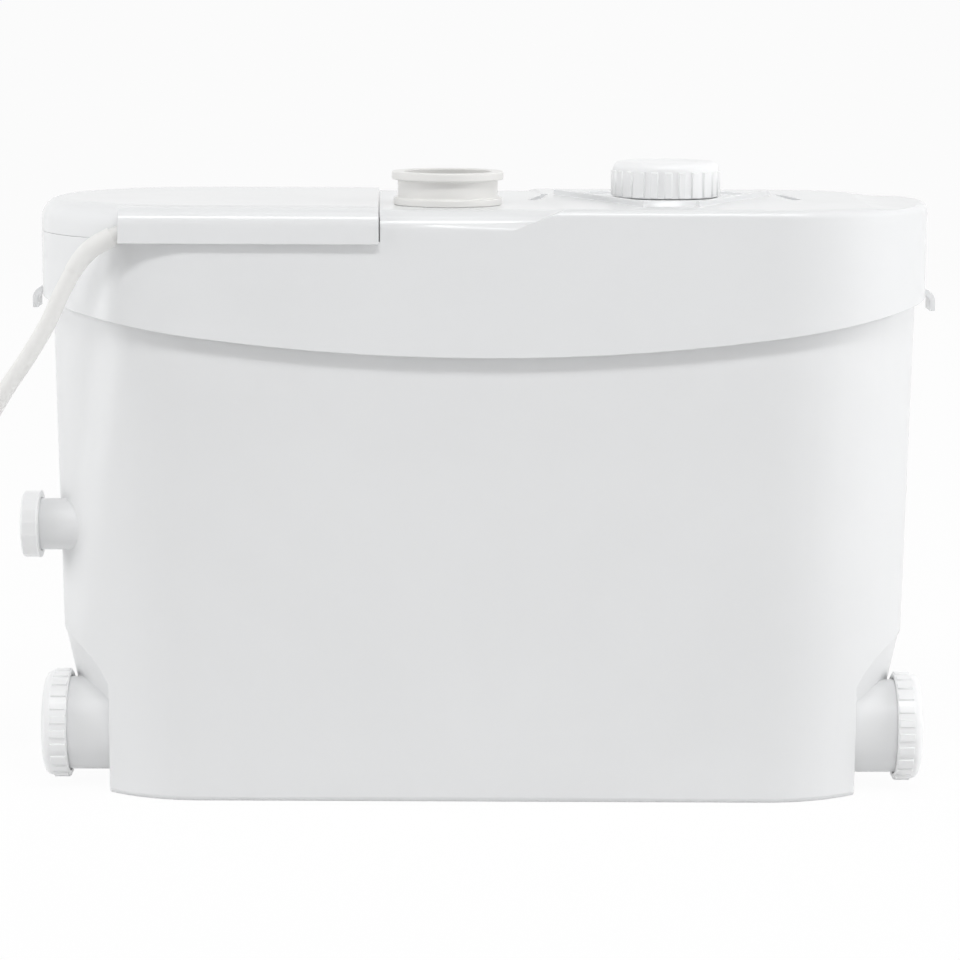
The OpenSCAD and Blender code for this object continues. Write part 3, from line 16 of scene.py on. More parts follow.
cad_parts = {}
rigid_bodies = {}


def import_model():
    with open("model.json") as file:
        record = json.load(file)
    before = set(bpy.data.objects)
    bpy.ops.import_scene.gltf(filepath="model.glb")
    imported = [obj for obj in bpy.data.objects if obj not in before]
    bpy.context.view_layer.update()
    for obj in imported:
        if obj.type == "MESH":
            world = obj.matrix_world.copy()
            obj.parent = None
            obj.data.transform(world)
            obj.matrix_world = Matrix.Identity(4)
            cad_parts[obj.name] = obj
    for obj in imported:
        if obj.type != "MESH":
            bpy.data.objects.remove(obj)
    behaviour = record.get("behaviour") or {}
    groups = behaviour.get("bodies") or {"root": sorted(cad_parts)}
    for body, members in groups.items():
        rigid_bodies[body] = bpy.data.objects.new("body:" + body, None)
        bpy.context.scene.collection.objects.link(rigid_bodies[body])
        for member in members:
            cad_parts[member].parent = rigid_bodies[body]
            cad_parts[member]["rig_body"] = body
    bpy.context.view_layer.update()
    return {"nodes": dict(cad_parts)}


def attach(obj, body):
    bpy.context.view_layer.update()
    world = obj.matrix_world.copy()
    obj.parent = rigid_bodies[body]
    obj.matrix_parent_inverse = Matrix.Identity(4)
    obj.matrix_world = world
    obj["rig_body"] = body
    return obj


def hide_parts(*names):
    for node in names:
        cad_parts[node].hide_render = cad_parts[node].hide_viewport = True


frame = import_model()
log = logging.getLogger("macerator_pump")

MM = 0.001
FULL_TURN = 2 * math.pi
NUMBER = "NodeSocketFloat"
VECTOR = "NodeSocketVector"
NOISE_SPAN = (0.3, 0.7)
Span = tuple[float, float]
Colour = tuple[float, float, float]
Point = tuple[float, float, float]


class Body(str, Enum):
    """The moving bodies that the pieces ride on."""

    UNIT = "unit"
    TOP_CAP = "top_screw_cap"
    LEFT_CAP = "left_screw_cap"
    RIGHT_CAP = "right_screw_cap"
    DRAIN_CAP = "drain_screw_cap"


class Wiring:
    """Adds nodes to one tree and joins their sockets."""

    def __init__(self, tree: bpy.types.NodeTree) -> None:
        """Keeps the tree that the nodes go into."""
        self.tree = tree

    def add(self, kind: str, inputs: dict | None = None, **settings: object) -> bpy.types.Node:
        """Adds one node.

        Args:
            kind: The node's type name.
            inputs: Input sockets by name or number, each with a value or with the socket that feeds it.
            **settings: The node's own properties.

        Returns:
            The new node.
        """
        node = self.tree.nodes.new(kind)
        for name, value in settings.items():
            setattr(node, name, value)
        for name, value in (inputs or {}).items():
            if isinstance(value, bpy.types.NodeSocket):
                self.tree.links.new(value, node.inputs[name])
            else:
                node.inputs[name].default_value = value
        return node

    def group(self, tree: bpy.types.NodeTree, **inputs: object) -> bpy.types.NodeOutputs:
        """Adds a shader group.

        Args:
            tree: The group's tree.
            **inputs: Its inputs by name, with an underscore for a space.

        Returns:
            The outputs of the group.
        """
        named = {name.replace("_", " "): value for name, value in inputs.items()}
        return self.add("ShaderNodeGroup", named, node_tree=tree).outputs

    def math(self, operation: str, *values: object) -> bpy.types.NodeSocket:
        """Adds a Math node.

        Args:
            operation: The node's operation.
            *values: Its inputs in order, numbers or sockets.

        Returns:
            The result's socket.
        """
        return self.add("ShaderNodeMath", dict(enumerate(values)), operation=operation).outputs[0]

    def spread(
        self, value: bpy.types.NodeSocket, span: Span, onto: Span = (0.0, 1.0),
    ) -> bpy.types.NodeSocket:
        """Maps a value from one span to another, clamped.

        Args:
            value: The socket to map.
            span: Start and end of the incoming span.
            onto: Start and end of the outgoing span.

        Returns:
            The mapped value's socket.
        """
        inputs = {"Value": value, "From Min": span[0], "From Max": span[1]}
        inputs |= {"To Min": onto[0], "To Max": onto[1]}
        return self.add("ShaderNodeMapRange", inputs, clamp=True).outputs["Result"]

    def mix(self, share: bpy.types.NodeSocket, first: Colour, second: Colour) -> bpy.types.NodeSocket:
        """Mixes two colours.

        Args:
            share: How much of the second colour shows.
            first: Colour at 0.
            second: Colour at 1.

        Returns:
            The mixed colour's socket.
        """
        inputs = {0: share, 6: (*first, 1.0), 7: (*second, 1.0)}
        return self.add("ShaderNodeMix", inputs, data_type="RGBA").outputs[2]


def shader_group(name: str, outputs: tuple[str, ...], **inputs: object) -> tuple:
    """Starts a shader node group with a Vector input.

    Args:
        name: The group's name.
        outputs: Names of its outputs, all of them numbers.
        **inputs: Defaults of its other inputs by name, with an underscore for a space.

    Returns:
        The tree, its wiring and the sockets of its input node.
    """
    tree = bpy.data.node_groups.new(name, "ShaderNodeTree")
    tree.interface.new_socket("Vector", in_out="INPUT", socket_type=VECTOR)
    for label, default in inputs.items():
        kind = VECTOR if isinstance(default, tuple) else NUMBER
        socket = tree.interface.new_socket(label.replace("_", " "), in_out="INPUT", socket_type=kind)
        socket.default_value = default
    for label in outputs:
        tree.interface.new_socket(label, in_out="OUTPUT", socket_type=NUMBER)
    wire = Wiring(tree)
    return tree, wire, wire.add("NodeGroupInput").outputs


class Effects:
    """Shader groups that several finishes share, each made once."""

    cell_share: float = 0.5
    speck_scale: float = 70.0
    speck_edge: Span = (0.02, 0.035)
    scratch_turns_and_stretches: tuple[Span, ...] = ((0.5, 14.0), (-0.9, 18.0))
    scratch_edge: Span = (0.70, 0.78)
    patch_scale_share: float = 0.35
    patch_edge: Span = (0.45, 0.7)

    @classmethod
    @cache
    def mould_skin(cls) -> bpy.types.NodeTree:
        """Skin of a moulded piece: a fine grain, slow flow marks and small specks.

        Returns:
            A group with Grain, Flow and Specks outputs.
        """
        outputs = ("Grain", "Flow", "Specks")
        tree, wire, given = shader_group("mould_skin", outputs, Grain_Scale=900.0, Flow_Scale=9.0)
        place, scale = given["Vector"], given["Grain Scale"]
        rough = {"Vector": place, "Scale": scale, "Detail": 3.0, "Roughness": 0.6}
        fine = wire.add("ShaderNodeTexNoise", rough)
        cells = wire.add("ShaderNodeTexVoronoi", {"Vector": place, "Scale": scale}, feature="SMOOTH_F1")
        slow = {"Vector": place, "Scale": given["Flow Scale"], "Detail": 4.0, "Distortion": 0.7}
        flow = wire.add("ShaderNodeTexNoise", slow)
        dots = wire.add("ShaderNodeTexVoronoi", {"Vector": place, "Scale": cls.speck_scale})
        pits = wire.math("MULTIPLY", cells.outputs["Distance"], cls.cell_share)
        grain = wire.math("ADD", pits, fine.outputs[0])
        specks = wire.spread(dots.outputs["Distance"], cls.speck_edge, (1.0, 0.0))
        wire.add("NodeGroupOutput", {"Grain": grain, "Flow": flow.outputs[0], "Specks": specks})
        return tree

    @classmethod
    @cache
    def handling(cls) -> bpy.types.NodeTree:
        """Fine scratches in two directions and dull patches from hands and cloths.

        Returns:
            A group with Scratches and Patches outputs.
        """
        tree, wire, given = shader_group("handling", ("Scratches", "Patches"), Scale=60.0)
        place, scale = given["Vector"], given["Scale"]
        lines = []
        for turn, stretch in cls.scratch_turns_and_stretches:
            turned = {"Vector": place, "Rotation": (turn, turn, turn), "Scale": (1.0, stretch, stretch)}
            drawn = wire.add("ShaderNodeMapping", turned).outputs[0]
            noise = wire.add("ShaderNodeTexNoise", {"Vector": drawn, "Scale": scale, "Detail": 2.0})
            lines.append(wire.spread(noise.outputs[0], cls.scratch_edge))
        wide = wire.math("MULTIPLY", scale, cls.patch_scale_share)
        smears = wire.add("ShaderNodeTexNoise", {"Vector": place, "Scale": wide, "Detail": 5.0})
        patches = wire.spread(smears.outputs[0], cls.patch_edge)
        wire.add("NodeGroupOutput", {"Scratches": wire.math("MAXIMUM", *lines), "Patches": patches})
        return tree

    @classmethod
    @cache
    def brushed_lines(cls) -> bpy.types.NodeTree:
        """Fine parallel lines of drawn or brushed metal.

        Returns:
            A group with Lines and Tone outputs.
        """
        tree, wire, given = shader_group("brushed_lines", ("Lines", "Tone"), Stretch=(1.0, 1.0, 1.0))
        place = given["Vector"]
        drawn = wire.add("ShaderNodeMapping", {"Vector": place, "Scale": given["Stretch"]}).outputs[0]
        lines = wire.add("ShaderNodeTexNoise", {"Vector": drawn, "Scale": 90.0, "Detail": 4.0})
        tone = wire.add("ShaderNodeTexNoise", {"Vector": place, "Scale": 40.0, "Detail": 3.0})
        wire.add("NodeGroupOutput", {"Lines": lines.outputs[0], "Tone": tone.outputs[0]})
        return tree


def shade(colour: Colour, share: float) -> Colour:
    """The colour, darkened or lightened by a share."""
    return tuple(min(1.0, c * share) for c in colour)


class Surface(Wiring):
    """Wiring of one new material, with its coordinates and its Principled shader."""

    def __init__(self, name: str) -> None:
        """Starts the material.

        Args:
            name: The material's name.
        """
        self.material = bpy.data.materials.new(name)
        self.material.use_nodes = True
        super().__init__(self.material.node_tree)
        self.shader = self.tree.nodes["Principled BSDF"]
        self.place = self.add("ShaderNodeTexCoord").outputs["Object"]

    def feed(self, name: str, source: bpy.types.NodeSocket) -> None:
        """Joins a socket to one of the shader's inputs."""
        self.tree.links.new(source, self.shader.inputs[name])

    def bump(self, height: bpy.types.NodeSocket, depth: float, strength: float) -> None:
        """Feeds a height into the shader's normal.

        Args:
            height: The socket with the height.
            depth: The height's full depth in metres.
            strength: How strongly it shows.
        """
        relief = self.add("ShaderNodeBump", {"Height": height, "Distance": depth, "Strength": strength})
        self.feed("Normal", relief.outputs[0])


@dataclass(frozen=True)
class Finish:
    """What every finish has: slot in the record, colour, gloss and, for a second tint, a name of its own."""

    slot: str
    colour: Colour
    roughness: float
    tint: str = ""

    @cache
    def material(self) -> bpy.types.Material:
        """Builds the finish's material once.

        Returns:
            The material.
        """
        surface = Surface((self.tint or self.slot) + "_finish")
        surface.shader.inputs["Roughness"].default_value = self.roughness
        self.wire_up(surface)
        return surface.material

    def wire_up(self, surface: Surface) -> None:
        """Wires up the surface; each kind of finish has its own way."""
        raise NotImplementedError


@dataclass(frozen=True)
class MouldedPlastic(Finish):
    """Injection-moulded plastic with a fine mould grain."""

    grain_scale: float = 1400.0
    grain_depth: float = 0.00002
    grain_strength: float = 0.35
    flow: float = 0.012
    speck_share: float = 0.25
    wear: float = 0.05

    def wire_up(self, surface: Surface) -> None:
        """Mixes the plastic from the mould's skin and the marks of handling.

        Args:
            surface: The material's wiring.
        """
        skin = surface.group(Effects.mould_skin(), Vector=surface.place, Grain_Scale=self.grain_scale)
        marks = surface.group(Effects.handling(), Vector=surface.place)
        specks = surface.math("MULTIPLY", skin["Specks"], self.speck_share)
        share = surface.math("MAXIMUM", surface.spread(skin["Flow"], NOISE_SPAN), specks)
        light, dark = shade(self.colour, 1.0 + self.flow), shade(self.colour, 1.0 - self.flow)
        surface.feed("Base Color", surface.mix(share, light, dark))
        worn = surface.math("ADD", marks["Patches"], marks["Scratches"])
        surface.feed("Roughness", surface.math("MULTIPLY_ADD", worn, self.wear, self.roughness))
        surface.bump(skin["Grain"], self.grain_depth, self.grain_strength)


@dataclass(frozen=True)
class Rubber(Finish):
    """Moulded rubber with a dull bloom."""

    bloom: Colour = (0.16, 0.16, 0.16)
    bloom_scale: float = 35.0
    bloom_span: Span = (0.0, 0.6)
    bloom_dull: float = 0.25
    grain_depth: float = 0.00006
    grain_strength: float = 0.5

    def wire_up(self, surface: Surface) -> None:
        """Mixes the rubber from the mould's skin and a pale bloom in patches.

        Args:
            surface: The material's wiring.
        """
        skin = surface.group(Effects.mould_skin(), Vector=surface.place, Flow_Scale=self.bloom_scale)
        marks = surface.group(Effects.handling(), Vector=surface.place)
        bloom = surface.math("MULTIPLY", marks["Patches"], skin["Flow"])
        surface.feed("Base Color", surface.mix(bloom, self.colour, self.bloom))
        dull = min(1.0, self.roughness + self.bloom_dull)
        surface.feed("Roughness", surface.spread(bloom, self.bloom_span, (self.roughness, dull)))
        surface.bump(skin["Grain"], self.grain_depth, self.grain_strength)


@dataclass(frozen=True)
class BrushedMetal(Finish):
    """Drawn or brushed metal."""

    stretch: Point = (1.2, 20.0, 20.0)
    dull: float = 0.75
    line_gloss: Span = (-0.06, 0.1)
    line_depth: float = 0.00002
    line_strength: float = 0.4
    scratch_dull: float = 0.15

    def wire_up(self, surface: Surface) -> None:
        """Mixes the metal from brushed lines and fine scratches.

        Args:
            surface: The material's wiring.
        """
        surface.shader.inputs["Metallic"].default_value = 1.0
        brushed = surface.group(Effects.brushed_lines(), Vector=surface.place, Stretch=self.stretch)
        marks = surface.group(Effects.handling(), Vector=surface.place)
        tone = surface.spread(brushed["Tone"], NOISE_SPAN)
        surface.feed("Base Color", surface.mix(tone, self.colour, shade(self.colour, self.dull)))
        smooth, rough = (self.roughness + change for change in self.line_gloss)
        lined = surface.spread(brushed["Lines"], NOISE_SPAN, (smooth, rough))
        surface.feed("Roughness", surface.math("MULTIPLY_ADD", marks["Scratches"], self.scratch_dull, lined))
        surface.bump(brushed["Lines"], self.line_depth, self.line_strength)


@dataclass(frozen=True)
class Layered(Finish):
    """Stacked laminations or wound wire, as even bands along one axis."""

    gap_colour: Colour = (0.05, 0.05, 0.05)
    gap_span: Span = (0.0, 0.35)
    gap_dull: float = 0.3
    gap_depth: float = 0.0002
    gap_strength: float = 0.6
    bands_per_metre: float = 1000.0
    bands_per_scale: float = 3.18
    waver: float = 0.02
    patch_share: float = 0.35

    def wire_up(self, surface: Surface) -> None:
        """Mixes the bands, with the tone of each a little uneven.

        Args:
            surface: The material's wiring.
        """
        surface.shader.inputs["Metallic"].default_value = 1.0
        scale = self.bands_per_metre / self.bands_per_scale
        waves = {"Vector": surface.place, "Scale": scale, "Distortion": self.waver, "Detail": 1.0}
        bands = surface.add("ShaderNodeTexWave", waves, bands_direction="Z").outputs["Fac"]
        marks = surface.group(Effects.handling(), Vector=surface.place)
        gap = surface.spread(bands, self.gap_span, (1.0, 0.0))
        share = surface.math("MAXIMUM", gap, surface.math("MULTIPLY", marks["Patches"], self.patch_share))
        surface.feed("Base Color", surface.mix(share, self.colour, self.gap_colour))
        dull = min(1.0, self.roughness + self.gap_dull)
        surface.feed("Roughness", surface.spread(share, (0.0, 1.0), (self.roughness, dull)))
        surface.bump(bands, self.gap_depth, self.gap_strength)


TANK_WHITE = MouldedPlastic("tank_white", (0.80, 0.805, 0.81), 0.42)
LID_WHITE = MouldedPlastic("lid_white", (0.80, 0.806, 0.812), 0.23, wear=0.02)
# The caps are the lid's own white plastic painted lighter: painted light that stands in for the light the
# rounded, ribbed caps catch from the lamps.
CAP_WHITE_PAINTED_LIGHT = MouldedPlastic("lid_white", (0.90, 0.903, 0.906), 0.30, "cap_white_painted_light")
SPIGOT_WHITE = MouldedPlastic("lid_white", (0.80, 0.793, 0.775), 0.34, "spigot_white")
GASKET_RUBBER = Rubber("gasket_rubber", (0.035, 0.035, 0.038), 0.6)
SLEEVE_RUBBER = Rubber("sleeve_rubber", (0.045, 0.045, 0.048), 0.55)
INNER_PLASTIC = MouldedPlastic("inner_plastic", (0.42, 0.43, 0.44), 0.45, flow=0.05, wear=0.12)
STAINLESS = BrushedMetal("stainless_steel", (0.66, 0.66, 0.65), 0.28)
CORE_IRON = Layered("core_iron", (0.32, 0.32, 0.33), 0.42)
COPPER = Layered("copper_wire", (0.62, 0.26, 0.10), 0.3, gap_colour=(0.16, 0.05, 0.02), bands_per_metre=900.0)
DARK_PLASTIC = MouldedPlastic("dark_plastic", (0.03, 0.03, 0.034), 0.45, flow=0.1, wear=0.15)
ORANGE_PLASTIC = MouldedPlastic("orange_plastic", (0.78, 0.22, 0.03), 0.35, flow=0.04)
CAPACITOR_CASE = BrushedMetal("capacitor_case", (0.70, 0.71, 0.73), 0.33, stretch=(20.0, 1.0, 1.0))
TERMINAL_PLASTIC = MouldedPlastic("terminal_plastic", (0.72, 0.70, 0.62), 0.5, flow=0.03)
BRASS = BrushedMetal("brass_screw", (0.72, 0.52, 0.22), 0.3)
CABLE_PVC = MouldedPlastic("cable_pvc", (0.805, 0.80, 0.785), 0.38, grain_scale=500.0, flow=0.02, wear=0.08)


def mesh_object(name: str, mesh: bpy.types.Mesh) -> bpy.types.Object:
    """Puts a mesh into the scene as an object at the origin.

    Args:
        name: The object's name.
        mesh: The mesh.

    Returns:
        The object.
    """
    piece = bpy.data.objects.new(name, mesh)
    bpy.context.scene.collection.objects.link(piece)
    return piece


def dress(piece: bpy.types.Object, finish: Finish, body: str, *nodes: str) -> bpy.types.Object:
    """Gives a finished piece its material, body and the solids that it stands for.

    Args:
        piece: The piece, in place.
        finish: Its finish.
        body: The body that it rides on.
        *nodes: The solids that it replaces.

    Returns:
        The same piece.
    """
    piece.data.materials.clear()
    piece.data.materials.append(finish.material())
    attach(piece, body)
    if nodes:
        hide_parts(*nodes)
    log.info("%s: %d faces, %s", piece.name, len(getattr(piece.data, "polygons", ())), finish.slot)
    return piece


def soften(mesh: bpy.types.Mesh, sharp: float) -> None:
    """Shades a mesh smooth, apart from edges sharper than an angle in degrees."""
    mesh.shade_smooth()
    mesh.set_sharp_from_angle(angle=math.radians(sharp))


def written(work: bmesh.types.BMesh, mesh: bpy.types.Mesh) -> bpy.types.Mesh:
    """Writes a worked surface into a mesh and frees the surface.

    Args:
        work: The surface.
        mesh: The mesh to fill.

    Returns:
        The same mesh.
    """
    work.to_mesh(mesh)
    work.free()
    return mesh


def plain_mesh(name: str, points: list[Point], faces: list[tuple[int, ...]]) -> bpy.types.Mesh:
    """Makes a mesh from points in millimetres.

    Args:
        name: The mesh's name.
        points: The points in millimetres.
        faces: The faces by point number.

    Returns:
        The mesh in metres.
    """
    mesh = bpy.data.meshes.new(name)
    mesh.from_pydata([tuple(c * MM for c in p) for p in points], [], faces)
    return mesh


def walls(count: int) -> list[tuple[int, ...]]:
    """The faces that join two closed loops of points, numbered one loop after the other."""
    return [(i, (i + 1) % count, (i + 1) % count + count, i + count) for i in range(count)]


def face_outwards(mesh: bpy.types.Mesh) -> None:
    """Turns every face of a closed mesh outwards.

    Args:
        mesh: The mesh.
    """
    work = bmesh.new()
    work.from_mesh(mesh)
    bmesh.ops.recalc_face_normals(work, faces=work.faces)
    written(work, mesh)


def settled(shape: bpy.types.Object) -> bpy.types.Mesh:
    """Takes a helper object out of the scene again.

    Args:
        shape: The helper object, with its modifiers.

    Returns:
        A plain mesh of what the modifiers made of it.
    """
    graph = bpy.context.evaluated_depsgraph_get()
    result = bpy.data.meshes.new_from_object(shape.evaluated_get(graph))
    bpy.data.objects.remove(shape)
    return result


def even_normals(mesh: bpy.types.Mesh) -> bpy.types.Mesh:
    """Lets the large faces of a mesh set the normals, so that they shade evenly up to their rounded edges.

    Args:
        mesh: The mesh, shaded smooth.

    Returns:
        A plain mesh with the new normals.
    """
    shape = mesh_object(mesh.name + "_normals", mesh)
    modifier = shape.modifiers.new("even_normals", "WEIGHTED_NORMAL")
    modifier.mode, modifier.weight, modifier.keep_sharp = "FACE_AREA", 50, True
    return settled(shape)


class Piece(Protocol):
    """Anything that a sub-assembly is made of."""

    def build(self) -> bpy.types.Object:
        """Builds the piece, dresses it and puts it on its body."""


class Assembly:
    """A sub-assembly of pieces that are built in order."""

    pieces: tuple[Piece, ...] = ()

    def build(self) -> None:
        """Builds every piece."""
        for piece in self.pieces:
            piece.build()


@dataclass
class Moulding:
    """A rigid piece shaped by its solid, with its hard edges rounded."""

    node: str
    finish: Finish
    edge: float = 0.4
    hard: float = 32.0
    segments: int = 2
    tries: int = 5
    weld: float = 0.002
    flat: float = 0.3
    fold: float = 140.0
    room: float = 3.0

    def rounded(self, crowded: list[Vector]) -> bmesh.types.BMesh:
        """Copies the solid's surface and rounds its hard edges where there is room.

        Args:
            crowded: Places where the rounding would fold over itself, so that the edges there stay hard.

        Returns:
            The surface, to be freed by the caller.
        """
        work = bmesh.new()
        work.from_mesh(frame["nodes"][self.node].data)
        bmesh.ops.remove_doubles(work, verts=work.verts, dist=self.weld * MM)
        flat = math.radians(self.flat)
        bmesh.ops.dissolve_limit(work, angle_limit=flat, verts=work.verts, edges=work.edges)
        near = self.room * self.edge * MM
        hard = [e for e in self.bent(work, self.hard) if self.clear(e, crowded, near)]
        if hard:
            bmesh.ops.bevel(
                work, geom=hard, offset=self.edge * MM, offset_type="OFFSET", segments=self.segments,
                profile=0.5, affect="EDGES", clamp_overlap=False, loop_slide=True,
            )
        return work

    @staticmethod
    def bent(work: bmesh.types.BMesh, angle: float) -> list[bmesh.types.BMEdge]:
        """The edges whose two faces bend by more than an angle in degrees."""
        return [e for e in work.edges if e.is_manifold and e.calc_face_angle(0.0) > math.radians(angle)]

    @staticmethod
    def clear(edge: bmesh.types.BMEdge, crowded: list[Vector], near: float) -> bool:
        """Whether an edge keeps away from every crowded place.

        Args:
            edge: The edge.
            crowded: The crowded places.
            near: The least distance in metres.

        Returns:
            True if none of them is nearer than that.
        """
        start, end = edge.verts[0].co, edge.verts[1].co
        for place in crowded:
            foot, share = intersect_point_line(place, start, end)
            foot = start if share < 0 else end if share > 1 else foot
            if (foot - place).length < near:
                return False
        return True

    def mesh(self) -> bpy.types.Mesh:
        """Rounds the solid's hard edges, again without those that would fold over.

        Returns:
            The piece's mesh.
        """
        crowded: list[Vector] = []
        for _ in range(self.tries):
            work = self.rounded(crowded)
            folded = self.bent(work, self.fold)
            if not folded:
                break
            crowded += [(e.verts[0].co + e.verts[1].co) / 2 for e in folded]
            work.free()
        else:
            work = self.rounded(crowded)
        mesh = written(work, bpy.data.meshes.new(self.node + "_moulding"))
        soften(mesh, self.hard)
        return even_normals(mesh)

    def build(self) -> bpy.types.Object:
        """Builds the piece, dresses it and puts it on its solid's body.

        Returns:
            The piece.
        """
        body = frame["nodes"][self.node]["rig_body"]
        return dress(mesh_object(self.node + "_moulding", self.mesh()), self.finish, body, self.node)


@dataclass(frozen=True)
class Lamp:
    """A soft rectangular lamp: its place and size in metres, its power, and whether gloss shows it."""

    name: str
    place: Point
    wide: float
    high: float
    watts: float
    mirrored: bool = True

    def hang(self, aim: Point) -> None:
        """Hangs the lamp so that it faces a point.

        Args:
            aim: The point, in metres.
        """
        data = bpy.data.lights.new(self.name, "AREA")
        data.shape, data.size, data.size_y, data.energy = "RECTANGLE", self.wide, self.high, self.watts
        lamp = bpy.data.objects.new(self.name, data)
        lamp.location = self.place
        lamp.visible_glossy = self.mirrored
        lamp.rotation_euler = (Vector(aim) - Vector(self.place)).to_track_quat("-Z", "Y").to_euler()
        bpy.context.scene.collection.objects.link(lamp)


@dataclass
class Studio:
    """Camera, soft lamps, pale floor and white surroundings."""

    eye: Point = (-0.0014, -1.400, 0.344)
    pitch: float = 81.26
    roll: float = 0.24
    lens: float = 121.88
    sensor: float = 36.0
    sight: Span = (0.05, 300.0)
    middle: Point = (0.0, 0.0, 0.14)
    lamps: tuple[Lamp, ...] = (
        Lamp("overhead", (0.0, -0.25, 1.8), 2.4, 0.07, 2.8),
        Lamp("high_front", (0.1, -1.0, 1.55), 1.3, 0.25, 12.4),
        Lamp("right_side", (1.8, -0.3, 0.6), 1.3, 1.5, 19.0, mirrored=False),
        Lamp("left_side", (-1.8, -0.3, 0.6), 1.3, 1.5, 16.5, mirrored=False),
        Lamp("rear_fill", (0.2, 1.9, 1.15), 2.0, 1.45, 6.0, mirrored=False),
    )
    fill: float = 0.265
    fill_colour: Colour = (0.985, 0.993, 1.0)
    paper: float = 0.9
    floor_white: float = 0.955
    floor_half: float = 90.0
    floor_drop: float = 0.0002

    def camera(self) -> None:
        """Sets the camera where the photograph was taken from."""
        data = bpy.data.cameras.new("eye")
        data.sensor_width = self.sensor
        data.lens = self.lens
        data.clip_start, data.clip_end = self.sight
        camera = bpy.data.objects.new("eye", data)
        camera.location = self.eye
        upright = Matrix.Rotation(math.radians(self.pitch), 4, "X")
        camera.rotation_euler = (upright @ Matrix.Rotation(math.radians(self.roll), 4, "Z")).to_euler()
        bpy.context.scene.collection.objects.link(camera)
        bpy.context.scene.camera = camera

    def seen_white(self, wire: Wiring) -> bpy.types.NodeSocket:
        """Where the eye, a reflection or a view through something meets the surroundings.

        Args:
            wire: The wiring of the floor's or the world's tree.

        Returns:
            A socket that is 1 for such rays.
        """
        path = wire.add("ShaderNodeLightPath").outputs
        rays = wire.math("MAXIMUM", path["Is Camera Ray"], path["Is Glossy Ray"])
        return wire.math("MAXIMUM", rays, path["Is Transmission Ray"])

    def surroundings(self) -> None:
        """Makes the world white to the eye and a soft even fill to the object."""
        world = bpy.data.worlds.new("surroundings")
        bpy.context.scene.world = world
        world.use_nodes = True
        wire = Wiring(world.node_tree)
        world.node_tree.nodes.clear()
        white = wire.add("ShaderNodeBackground", {"Color": (1, 1, 1, 1), "Strength": 1.0})
        fill = wire.add("ShaderNodeBackground", {"Color": (*self.fill_colour, 1), "Strength": self.fill})
        shaders = {0: self.seen_white(wire), 1: fill.outputs[0], 2: white.outputs[0]}
        wire.add("ShaderNodeOutputWorld", {"Surface": wire.add("ShaderNodeMixShader", shaders).outputs[0]})

    def floor(self) -> None:
        """Lays a pale floor that keeps the object's shadow."""
        mesh = bpy.data.meshes.new("studio_floor")
        half = self.floor_half
        corners = [(-half, -half, 0), (half, -half, 0), (half, half, 0), (-half, half, 0)]
        mesh.from_pydata(corners, [], [(0, 1, 2, 3)])
        floor = mesh_object("studio_floor", mesh)
        floor.location.z = -self.floor_drop
        material = bpy.data.materials.new("studio_floor")
        material.use_nodes = True
        material.node_tree.nodes.clear()
        wire = Wiring(material.node_tree)
        paper = wire.add("ShaderNodeBsdfDiffuse", {"Color": (self.paper, self.paper, self.paper, 1)})
        white = wire.add("ShaderNodeEmission", {"Color": (1, 1, 1, 1), "Strength": 1.0})
        share = wire.math("MULTIPLY", self.seen_white(wire), self.floor_white)
        shaders = {0: share, 1: paper.outputs[0], 2: white.outputs[0]}
        wire.add("ShaderNodeOutputMaterial", {"Surface": wire.add("ShaderNodeMixShader", shaders).outputs[0]})
        mesh.materials.append(material)

    def build(self) -> None:
        """Builds the whole studio."""
        bpy.context.scene.view_settings.view_transform = "Standard"
        self.camera()
        for lamp in self.lamps:
            lamp.hang(self.middle)
        self.surroundings()
        self.floor()


